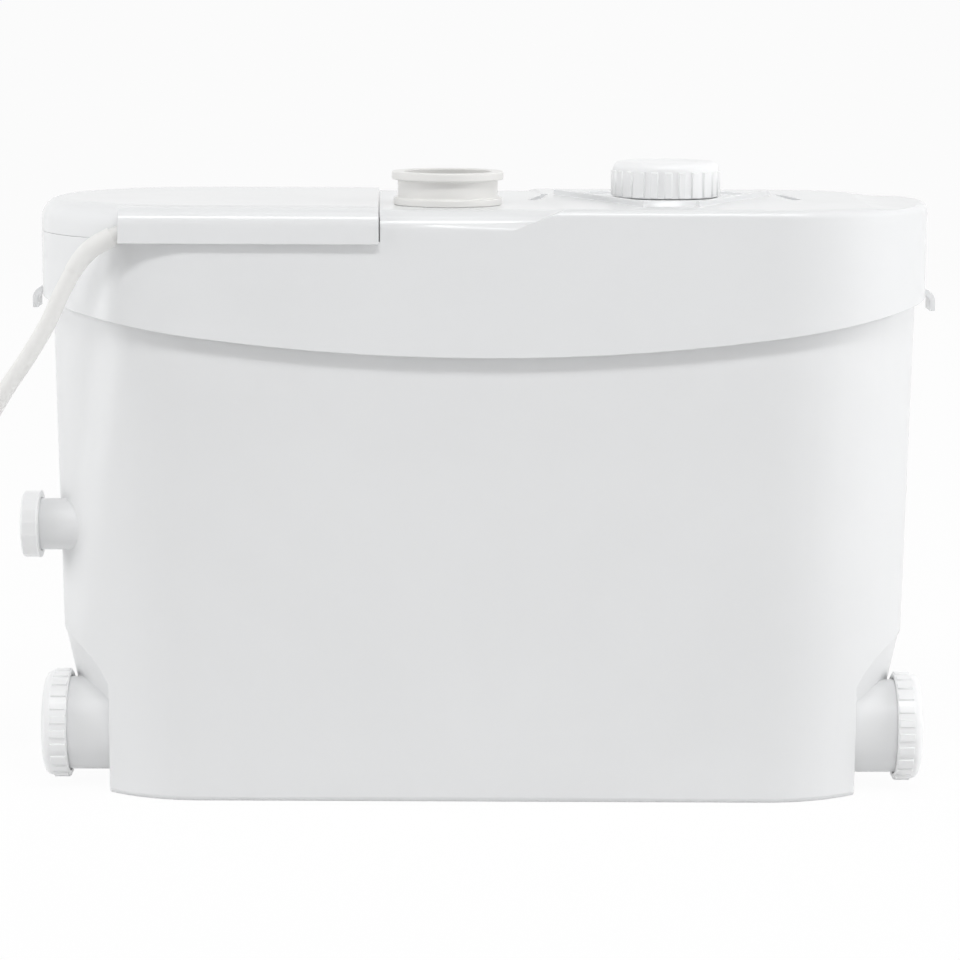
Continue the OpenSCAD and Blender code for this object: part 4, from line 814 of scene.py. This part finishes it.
@dataclass
class StrainRelief:
    """Tapered sleeve round the lead where it leaves the lid; sizes in millimetres."""

    lead: bpy.types.Object
    lead_r: float
    start_x: float = -152.8
    long: float = 23.0
    wide: float = 4.2
    thin: float = 3.65
    sunk: float = 0.3
    collar_share: float = 0.08
    collar_round: float = 0.25
    tip_round: float = 0.12
    sides: int = 28
    hard: float = 40.0
    first_knot: int = 1
    end_knot: int = 8
    steps_per_knot: int = 16

    def way(self) -> list[tuple[float, Vector]]:
        """The stretch of the lead that the relief covers.

        Returns:
            Points on the lead's middle, each with its share of the relief's length.
        """
        knots = self.lead.data.splines[0].bezier_points[self.first_knot:self.end_knot]
        line = []
        for a, b in zip(knots, knots[1:]):
            line += interpolate_bezier(a.co, a.handle_right, b.handle_left, b.co, self.steps_per_knot)[:-1]
        line = [p for p in line if p.x < self.start_x * MM]
        way, run = [(0.0, line[0])], 0.0
        for last, point in zip(line, line[1:]):
            run += (point - last).length
            if run > self.long * MM:
                break
            way.append((run / (self.long * MM), point))
        return way

    def radii(self, share: float, first: bool, last: bool) -> list[float]:
        """Radii of the rings at one point: more than one at the ends, which close on the lead.

        Args:
            share: The point's share of the length.
            first: Whether it is the thick end.
            last: Whether it is the thin end.

        Returns:
            The radii in millimetres, in order.
        """
        inside = self.lead_r - self.sunk
        if first:
            return [inside, self.wide - self.collar_round, self.wide]
        if last:
            return [self.thin, self.thin - self.tip_round, inside]
        taper = min(max((share - self.collar_share) / (1 - self.collar_share), 0.0), 1.0)
        return [self.wide + (self.thin - self.wide) * taper]

    def build(self) -> bpy.types.Object:
        """Moulds the relief, with a collar at its thick end and a rounded thin end.

        Returns:
            The relief.
        """
        way = self.way()
        end = len(way) - 1
        work = bmesh.new()
        loops = []
        for i, (share, point) in enumerate(way):
            along = (way[min(i + 1, end)][1] - way[max(i - 1, 0)][1]).normalized()
            over = along.cross(Vector((0, 1, 0))).normalized()
            side = over.cross(along)
            for r in self.radii(share, i == 0, i == end):
                turns = [FULL_TURN * k / self.sides for k in range(self.sides)]
                ring = [point + (over * math.cos(a) + side * math.sin(a)) * r * MM for a in turns]
                loops.append([work.verts.new(p) for p in ring])
        for low, high in zip(loops, loops[1:]):
            for k in range(self.sides):
                after = (k + 1) % self.sides
                work.faces.new((low[k], low[after], high[after], high[k]))
        work.faces.new(loops[0])
        work.faces.new(loops[-1])
        bmesh.ops.recalc_face_normals(work, faces=work.faces)
        mesh = written(work, bpy.data.meshes.new("lead_strain_relief"))
        soften(mesh, self.hard)
        return dress(mesh_object("lead_strain_relief", mesh), CABLE_PVC, Body.UNIT.value)


@dataclass
class SupplyLead:
    """Mains lead from under the terminal cover to its coil, tie and plug."""

    diameter: float = 7.0
    length: float = 1.5
    coil_x: float = -279.0
    coil_y: float = 60.0
    coil_radius: float = 47.5
    coil_step: float = 7.7
    coil_low: float = 4.7
    coil_layer: float = 7.6
    turns: float = 4.5
    points_per_turn: int = 20
    smoothness: int = 5

    def route(self) -> list[Point]:
        """The lead's way from the clamp over the end of the lid and down to the floor, in millimetres."""
        return [
            (-137, -65.5, 243.4), (-144, -65.8, 242.6), (-153, -66.6, 239.2), (-163, -68, 233),
            (-172, -71, 219), (-179, -74, 204), (-187, -77, 190.5), (-196, -79, 177), (-206, -80, 159),
            (-215, -79, 135), (-222, -75, 108), (-227, -67, 82), (-230, -54, 57), (-231.5, -35, 34),
            (-231.5, -10, 16), (-231.5, 20, 6.4), (-231.5, 40, 4.7),
        ]

    def coil(self) -> list[Point]:
        """The coil: inwards on the floor, over, and outwards on top.

        Returns:
            Its points in millimetres.
        """
        full, rise = 360.0 * self.turns, 180.0
        climb, near_y = (full - rise) / 2, self.coil_y - self.diameter
        points = [(self.coil_x + self.coil_radius, near_y, self.coil_low)]
        for i in range(int(self.turns * self.points_per_turn) + 1):
            a = 360.0 * i / self.points_per_turn
            radius = self.coil_radius - self.coil_step * min(a, full - a) / 360.0
            share = min(max((a - climb) / rise, 0.0), 1.0)
            height = self.coil_low + self.coil_layer * (1 - math.cos(math.pi * share)) / 2
            x, y = radius * math.cos(math.radians(a)), radius * math.sin(math.radians(a))
            points.append((self.coil_x + x, self.coil_y + y, height))
        points.append((self.coil_x - self.coil_radius, near_y, self.coil_low + self.coil_layer))
        return points

    def lead(self) -> bpy.types.Object:
        """Draws the lead as one open curve of round section.

        Returns:
            The curve object.
        """
        curve = bpy.data.curves.new("supply_lead", "CURVE")
        curve.dimensions = "3D"
        curve.bevel_depth = self.diameter / 2 * MM
        curve.bevel_resolution = curve.resolution_u = self.smoothness
        curve.use_fill_caps = True
        points = self.route() + self.coil()
        spline = curve.splines.new("BEZIER")
        spline.bezier_points.add(len(points) - 1)
        for knot, point in zip(spline.bezier_points, points):
            knot.co = Vector(point) * MM
            knot.handle_left_type = knot.handle_right_type = "AUTO"
        piece = bpy.data.objects.new("supply_lead", curve)
        bpy.context.scene.collection.objects.link(piece)
        return piece

    def build(self) -> None:
        lead = dress(self.lead(), CABLE_PVC, Body.UNIT.value, "supply_cable", "cable_coil")
        pieces = [
            StrainRelief(lead, self.diameter / 2).build(),
            Moulding("coil_tie", DARK_PLASTIC, 0.3).build(),
            Moulding("plug_body", CABLE_PVC, 1.0, segments=3).build(),
            Moulding("plug_pins", STAINLESS, 0.4).build(),
        ]


class Repeats:
    """Geometry Nodes trees that repeat a shape, each made once."""

    weld: float = 4e-6

    @staticmethod
    def start(name: str, **inputs: str) -> tuple[bpy.types.NodeTree, Wiring, bpy.types.NodeOutputs]:
        """Starts a tree with a geometry and a material coming in and a geometry going out.

        Args:
            name: The tree's name.
            **inputs: Socket type of each other input.

        Returns:
            The tree, its wiring and the sockets of its input node.
        """
        tree = bpy.data.node_groups.new(name, "GeometryNodeTree")
        kinds = {"Geometry": "NodeSocketGeometry"} | inputs | {"Material": "NodeSocketMaterial"}
        for label, kind in kinds.items():
            tree.interface.new_socket(label, in_out="INPUT", socket_type=kind)
        tree.interface.new_socket("Geometry", in_out="OUTPUT", socket_type="NodeSocketGeometry")
        wire = Wiring(tree)
        return tree, wire, wire.add("NodeGroupInput").outputs

    @classmethod
    def end(cls, wire: Wiring, given: bpy.types.NodeOutputs, copies: dict) -> None:
        """Makes the copies real, joins their edges and gives them their material.

        Args:
            wire: The tree's wiring.
            given: The sockets of its input node.
            copies: Where the copies go.
        """
        placed = wire.add("GeometryNodeInstanceOnPoints", copies | {"Instance": given["Geometry"]})
        real = wire.add("GeometryNodeRealizeInstances", {0: placed.outputs[0]})
        joined = wire.add("GeometryNodeMergeByDistance", {"Geometry": real.outputs[0], "Distance": cls.weld})
        dressed = {"Geometry": joined.outputs[0], "Material": given["Material"]}
        wire.add("NodeGroupOutput", {0: wire.add("GeometryNodeSetMaterial", dressed).outputs[0]})

    @classmethod
    @cache
    def ring(cls) -> bpy.types.NodeTree:
        """Copies of a sector, each turned about Z by one step more than the last.

        Returns:
            A tree with Count, Step and Material inputs.
        """
        tree, wire, given = cls.start("repeat_round_axis", Count="NodeSocketInt", Step=NUMBER)
        points = wire.add("GeometryNodePoints", {"Count": given["Count"]})
        index = wire.add("GeometryNodeInputIndex").outputs[0]
        turn = wire.add("ShaderNodeCombineXYZ", {"Z": wire.math("MULTIPLY", index, given["Step"])})
        cls.end(wire, given, {"Points": points.outputs[0], "Rotation": turn.outputs[0]})
        return tree

    @classmethod
    @cache
    def row(cls) -> bpy.types.NodeTree:
        """Copies of a shape in a straight row.

        Returns:
            A tree with Count, Pitch and Material inputs.
        """
        tree, wire, given = cls.start("repeat_in_row", Count="NodeSocketInt", Pitch=VECTOR)
        index = wire.add("GeometryNodeInputIndex").outputs[0]
        scaled = {0: given["Pitch"], "Scale": index}
        place = wire.add("ShaderNodeVectorMath", scaled, operation="SCALE").outputs[0]
        points = wire.add("GeometryNodePoints", {"Count": given["Count"], "Position": place})
        cls.end(wire, given, {"Points": points.outputs[0]})
        return tree

    @staticmethod
    def apply(
        mesh: bpy.types.Mesh, tree: bpy.types.NodeTree, finish: Finish, **values: object,
    ) -> bpy.types.Mesh:
        """Runs a tree on a mesh.

        Args:
            mesh: The shape to repeat.
            tree: The tree.
            finish: The finish of the copies.
            **values: The tree's other inputs by name.

        Returns:
            A plain mesh with all the copies.
        """
        shape = mesh_object(mesh.name + "_once", mesh)
        modifier = shape.modifiers.new("repeat", "NODES")
        modifier.node_group = tree
        sockets = {i.name: i.identifier for i in tree.interface.items_tree if i.in_out == "INPUT"}
        for name, value in (values | {"Material": finish.material()}).items():
            modifier[sockets[name]] = value
        return settled(shape)


class Profile(Enum):
    """How the outside of a cap changes with the angle."""

    ROUND = "round"
    RIB = "rib"
    FACET = "facet"


@dataclass(frozen=True)
class Ring:
    """One ring of a cap's profile: radius and height in millimetres, and how it follows the angle."""

    radius: float
    height: float
    profile: Profile = Profile.ROUND


@dataclass
class Cap:
    """Screw cap made of one sector, repeated round its axis; sizes in millimetres."""

    node: str
    body: Body
    place: Point
    lean: float
    height: float
    sectors: int = 24
    bore: float = 20.5
    outside: float = 22.6
    end_wall: float = 3.0
    shoulder: float = 3.5
    shoulder_steps: int = 8
    dish: float = 12.8
    dish_deep: float = 0.6
    rib: float = 0.8
    rib_foot: float = 0.57
    rib_flank: float = 0.14
    hard: float = 40.0

    def angles(self) -> list[float]:
        """The sector's columns as shares of its half angle."""
        return [-1.0, -0.8, -0.64, -0.57, -0.5, -0.43, -0.2, 0.0, 0.2, 0.43, 0.5, 0.57, 0.64, 0.8, 1.0]

    def rings(self) -> list[Ring]:
        """The profile from the middle of the inner end, round the mouth, to the middle of the outer end.

        Returns:
            The rings in order.
        """
        bore, wide, h = self.bore, self.outside, self.height
        inner, round_z, low = h - self.end_wall, h - self.shoulder, h - self.dish_deep
        inside = [(0, inner), (bore - 0.6, inner), (bore, inner - 0.6), (bore, 0.5), (bore + 0.4, 0)]
        edge = [(wide - 0.4, 0), (wide - 0.1, 0.12), (wide, 0.3), (wide, 0.4)]
        ribs = [(wide, 0.6), (wide, round_z - 0.55)]
        shoulder = [(wide, round_z - 0.3)]
        for step in range(self.shoulder_steps + 1):
            a = math.radians(90 * step / self.shoulder_steps)
            shoulder.append((wide - self.shoulder * (1 - math.cos(a)), round_z + self.shoulder * math.sin(a)))
        end = [(self.dish + 1.8, h), (self.dish + 1.4, h - 0.07), (self.dish + 0.4, h - 0.5)]
        end += [(self.dish, low), (4, low), (0, low)]
        rings = [Ring(r, z) for r, z in inside + edge]
        rings += [Ring(r, z, Profile.RIB) for r, z in ribs]
        return rings + [Ring(r, z) for r, z in shoulder + end]

    def radius(self, ring: Ring, share: float, half: float) -> float:
        """Radius of a ring at one column.

        Args:
            ring: The ring.
            share: The column's share of the half angle, from -1 to 1.
            half: Half angle of the sector in radians.

        Returns:
            The radius in millimetres.
        """
        if ring.profile is Profile.RIB:
            rise = min(max((self.rib_foot - abs(share)) / self.rib_flank, 0.0), 1.0)
            return ring.radius + self.rib * rise * rise * (3 - 2 * rise)
        if ring.profile is Profile.FACET:
            return ring.radius * math.cos(half) / math.cos(share * half)
        return ring.radius

    def sector(self) -> bpy.types.Mesh:
        """Builds one sector of the cap, standing on its mouth.

        Returns:
            The sector's mesh.
        """
        half = math.pi / self.sectors
        rings, columns = self.rings(), self.angles()
        points, faces = [], []
        for ring in rings:
            for share in columns:
                r = self.radius(ring, share, half)
                points.append((r * math.cos(share * half), r * math.sin(share * half), ring.height))
        wide = len(columns)
        for i in range(len(rings) - 1):
            for j in range(wide - 1):
                a, b, c, d = i * wide + j, i * wide + j + 1, (i + 1) * wide + j + 1, (i + 1) * wide + j
                if rings[i].radius == 0:
                    faces.append((a, c, d))
                elif rings[i + 1].radius == 0:
                    faces.append((a, b, c))
                else:
                    faces.append((a, b, c, d))
        return plain_mesh(self.node + "_sector", points, faces)

    def build(self) -> bpy.types.Object:
        """Repeats the sector, places the cap and dresses it.

        Returns:
            The cap.
        """
        step = FULL_TURN / self.sectors
        mesh = Repeats.apply(self.sector(), Repeats.ring(), CAP_WHITE_PAINTED_LIGHT, Count=self.sectors, Step=step)
        turned = Matrix.Rotation(math.radians(self.lean), 4, "Y")
        mesh.transform(Matrix.Translation(Vector(self.place) * MM) @ turned)
        face_outwards(mesh)
        soften(mesh, self.hard)
        return dress(mesh_object(self.node + "_moulding", mesh), CAP_WHITE_PAINTED_LIGHT, self.body.value, self.node)


@dataclass
class DrainCap(Cap):
    """Small cap with flats, a thin round flange at its mouth and a domed end."""

    sectors: int = 16
    bore: float = 11.5
    outside: float = 14.2
    end_wall: float = 2.0
    hard: float = 15.0

    def angles(self) -> list[float]:
        """The sector's columns as shares of its half angle."""
        return [-1.0, -0.97, -0.5, 0.0, 0.5, 0.97, 1.0]

    def rings(self) -> list[Ring]:
        """The profile from the middle of the inner end, round the mouth, to the middle of the outer end.

        Returns:
            The rings in order.
        """
        bore, wide, h = self.bore, self.outside, self.height
        inner = h - self.end_wall
        inside = [(0, inner), (bore - 0.3, inner), (bore, inner - 0.3), (bore, 0.4), (bore + 0.3, 0)]
        flange = [(wide - 0.1, 0), (wide + 0.2, 0.2), (wide + 0.25, 0.5), (wide + 0.2, 0.8), (wide, 1.0)]
        flats = [(wide, 1.1), (wide, h - 1.7), (wide - 0.2, h - 1.35), (wide - 0.7, h - 1.1)]
        dome = [(wide - 1, h - 1.0), (11.5, h - 0.6), (9, h - 0.28), (6, h - 0.1), (3, h - 0.02), (0, h)]
        rings = [Ring(r, z) for r, z in inside + flange]
        rings += [Ring(r, z, Profile.FACET) for r, z in flats]
        return rings + [Ring(r, z) for r, z in dome]


class ScrewCaps(Assembly):
    """The four caps that close the inlets and the drain, and their washers."""

    pieces = (
        Cap("top_cap", Body.TOP_CAP, (77.5, -4.5, 253.0), 0, 15.0),
        Cap("left_cap", Body.LEFT_CAP, (-177.4, -25.851, 26.0), -90, 10.9),
        Cap("right_cap", Body.RIGHT_CAP, (177.4, -25.851, 26.0), 90, 10.9),
        DrainCap("drain_cap", Body.DRAIN_CAP, (-189.0, -25.851, 113.0), -90, 8.7),
        *(Moulding(name + "_cap_washer", GASKET_RUBBER, 0.3) for name in ("top", "left", "right", "drain")),
    )


@dataclass
class InletSeat:
    """Low ring on the lid round the foot of the top inlet, just under the top cap; sizes in millimetres."""

    place: Point = (77.5, -4.5, 249.7)
    section: tuple[Span, ...] = ((19.8, 0.0), (24.2, 0.0), (23.1, 2.6), (22.8, 2.9), (19.8, 2.9))
    sectors: int = 96
    hard: float = 30.0

    def build(self) -> bpy.types.Object:
        """Turns the section into a ring by repeating one sector of it.

        Returns:
            The ring.
        """
        half = math.pi / self.sectors
        points = [(r * math.cos(a), r * math.sin(a), z) for a in (-half, half) for r, z in self.section]
        sector = plain_mesh("inlet_seat_sector", points, walls(len(self.section)))
        mesh = Repeats.apply(sector, Repeats.ring(), LID_WHITE, Count=self.sectors, Step=2 * half)
        mesh.transform(Matrix.Translation(Vector(self.place) * MM))
        face_outwards(mesh)
        soften(mesh, self.hard)
        return dress(mesh_object("top_inlet_seat", mesh), LID_WHITE, Body.UNIT.value)


class Housing(Assembly):
    """Tank, lid, dry tub, gasket, pull tabs, terminal cover and discharge spigot."""

    pieces = (
        Moulding("tank", TANK_WHITE, 0.5),
        Moulding("lid", LID_WHITE, 0.35, hard=50.0),
        InletSeat(),
        Moulding("terminal_cover", LID_WHITE, 0.3),
        Moulding("discharge_spigot", SPIGOT_WHITE, 0.6, segments=3),
        Moulding("pull_tabs", LID_WHITE, 0.3),
        Moulding("dry_tub", LID_WHITE, 0.4),
        Moulding("lid_gasket", GASKET_RUBBER, 0.3),
    )


@dataclass
class ClipSlots:
    """Row of slanted slots round one hose clip, as dark inlays; sizes in millimetres."""

    clip: str
    band_start: float
    centre_z: float = 110.0
    band_r: float = 58.0
    band_w: float = 9.0
    slots: int = 64
    left_out: int = 5
    slot_long: float = 5.2
    slot_wide: float = 1.3
    slot_lean: float = 0.35
    slot_heights: Span = (-0.12, 0.04)

    def slot(self) -> bpy.types.Mesh:
        """One slanted slot, lying on the band at the top, before it is repeated.

        Returns:
            The slot's mesh.
        """
        points = []
        outline = ((-1, -1), (0, -1), (1, -1), (1, 1), (0, 1), (-1, 1))
        for up in self.slot_heights:
            for along, across in outline:
                x = along * self.slot_wide / 2 + across * self.slot_lean
                points.append((x, math.sqrt(self.band_r ** 2 - x * x) + up, across * self.slot_long / 2))
        count = len(outline)
        ends = [tuple(range(count)), tuple(reversed(range(count, 2 * count)))]
        return plain_mesh("clip_slot", points, ends + walls(count))

    def build(self) -> bpy.types.Object:
        """Repeats the slot round the band, but not under the screw.

        Returns:
            The slots of the clip.
        """
        step, count = FULL_TURN / self.slots, self.slots - 2 * self.left_out
        mesh = Repeats.apply(self.slot(), Repeats.ring(), DARK_PLASTIC, Count=count, Step=step)
        upright = Matrix.Rotation(math.radians(-90), 4, "X")
        first = Matrix.Rotation(step * (self.left_out + 0.5), 4, "Z")
        place = Matrix.Translation(Vector((0, self.band_start + self.band_w / 2, self.centre_z)) * MM)
        mesh.transform(place @ Matrix.Rotation(math.radians(180), 4, "Y") @ upright.inverted() @ first)
        face_outwards(mesh)
        return dress(mesh_object(self.clip + "_slots", mesh), DARK_PLASTIC, Body.UNIT.value)


class ToiletInlet(Assembly):
    """Rubber sleeve at the back with two slotted clips and their screws."""

    pieces = (
        Moulding("inlet_sleeve", SLEEVE_RUBBER, 0.5, segments=3),
        Moulding("inner_hose_clip", STAINLESS, 0.15),
        ClipSlots("inner_hose_clip", 73.0),
        Moulding("outer_hose_clip", STAINLESS, 0.15),
        ClipSlots("outer_hose_clip", 100.5),
        Moulding("hose_clip_screws", STAINLESS, 0.2),
    )


class InletValves(Assembly):
    """Seats, flaps and pins of the flap valves behind the two low inlets."""

    pieces = tuple(
        Moulding(side + part, finish, edge)
        for side in ("left", "right")
        for part, finish, edge in (
            ("_valve_seat", INNER_PLASTIC, 0.3),
            ("_valve_flap", GASKET_RUBBER, 0.25),
            ("_valve_pin", STAINLESS, 0.1),
        )
    )


class MotorPump(Assembly):
    """Motor under the dry tub, with the macerator and pump on its shaft."""

    pieces = (
        Moulding("motor_plate", INNER_PLASTIC, 0.4),
        Moulding("motor_can", STAINLESS, 0.4),
        Moulding("stator_core", CORE_IRON, 0.2),
        Moulding("stator_windings", COPPER, 0.6),
        Moulding("upper_bearing", STAINLESS, 0.4),
        Moulding("lower_bearing", STAINLESS, 0.4),
        Moulding("seal_carrier", CORE_IRON, 0.3),
        Moulding("shaft_seal", GASKET_RUBBER, 0.3),
        Moulding("motor_shaft", STAINLESS, 0.3),
        Moulding("rotor_core", CORE_IRON, 0.3),
        Moulding("macerator_blade", STAINLESS, 0.15),
        Moulding("impeller", DARK_PLASTIC, 0.25),
        Moulding("impeller_nut", STAINLESS, 0.25),
        Moulding("macerator_basket", INNER_PLASTIC, 0.3),
        Moulding("pump_volute", INNER_PLASTIC, 0.4),
        Moulding("pump_screws", STAINLESS, 0.2),
        Moulding("motor_screws", STAINLESS, 0.25),
    )


class DischargePath(Assembly):
    """Riser from the pump and the check valve under the spigot."""

    pieces = (
        Moulding("riser_pipe", INNER_PLASTIC, 0.4),
        Moulding("check_valve_body", INNER_PLASTIC, 0.3),
        Moulding("check_valve_flap", GASKET_RUBBER, 0.25),
        Moulding("check_valve_pin", STAINLESS, 0.1),
    )


@dataclass
class TerminalScrews:
    """Row of slotted screws on the terminal block; sizes in millimetres."""

    radius: float = 2.15
    height: float = 3.0
    sides: int = 32
    slot_w: float = 0.6
    slot_deep: float = 0.7
    slot_end: float = 0.35
    first: Point = (-95.0, -63.2, 244.0)
    pitch: float = 10.0
    count: int = 4
    hard: float = 35.0
    cut_slack: float = 1e-5
    level_slack: float = 1e-4

    def screw(self) -> bpy.types.Mesh:
        """One slotted screw, standing at the origin.

        Returns:
            The screw's mesh.
        """
        radius, top = self.radius * MM, self.height * MM
        work = bmesh.new()
        bmesh.ops.create_cone(
            work, cap_ends=True, segments=self.sides, radius1=radius, radius2=radius, depth=top,
            matrix=Matrix.Translation((0, 0, top / 2)),
        )
        half_w, half_l = self.slot_w / 2 * MM, (self.radius - self.slot_end) * MM
        for place in ((0, half_w, 0), (0, -half_w, 0), (half_l, 0, 0), (-half_l, 0, 0)):
            everything = work.verts[:] + work.edges[:] + work.faces[:]
            across, slack = Vector(place).normalized(), self.cut_slack * MM
            bmesh.ops.bisect_plane(work, geom=everything, dist=slack, plane_co=place, plane_no=across)
        inside = []
        for face in work.faces:
            middle = face.calc_center_median()
            level = abs(middle.z - top) < self.level_slack * MM
            if level and abs(middle.y) < half_w and abs(middle.x) < half_l:
                inside.append(face)
        sunk = bmesh.ops.extrude_face_region(work, geom=inside)
        moved = [v for v in sunk["geom"] if isinstance(v, bmesh.types.BMVert)]
        bmesh.ops.delete(work, geom=inside, context="FACES_ONLY")
        bmesh.ops.translate(work, verts=moved, vec=(0, 0, -self.slot_deep * MM))
        bmesh.ops.recalc_face_normals(work, faces=work.faces)
        return written(work, bpy.data.meshes.new("terminal_screw"))

    def build(self) -> bpy.types.Object:
        """Repeats the screw along the terminal block.

        Returns:
            The row of screws.
        """
        pitch = (self.pitch * MM, 0, 0)
        mesh = Repeats.apply(self.screw(), Repeats.row(), BRASS, Count=self.count, Pitch=pitch)
        mesh.transform(Matrix.Translation(Vector(self.first) * MM))
        soften(mesh, self.hard)
        return dress(mesh_object("terminal_screws_slotted", mesh), BRASS, Body.UNIT.value, "terminal_screws")


class DryCompartment(Assembly):
    """Switch, capacitor, terminals and cable clamp in the dry compartment."""

    pieces = (
        Moulding("pressure_tube", INNER_PLASTIC, 0.3),
        Moulding("pressure_switch", DARK_PLASTIC, 0.4),
        Moulding("switch_plunger", ORANGE_PLASTIC, 0.3),
        Moulding("capacitor", CAPACITOR_CASE, 0.6, segments=3),
        Moulding("terminal_block", TERMINAL_PLASTIC, 0.4),
        TerminalScrews(),
        Moulding("cable_clamp", INNER_PLASTIC, 0.4),
        Moulding("clamp_screw", STAINLESS, 0.3),
        Moulding("cable_tail", CABLE_PVC, 0.1),
    )


def main() -> None:
    """Builds the studio and every sub-assembly in order."""
    logging.basicConfig(level=logging.INFO, format="%(message)s")
    Studio().build()
    SupplyLead().build()
    Housing().build()
    ScrewCaps().build()
    ToiletInlet().build()
    InletValves().build()
    MotorPump().build()
    DischargePath().build()
    DryCompartment().build()


if __name__ == "__main__":
    main()
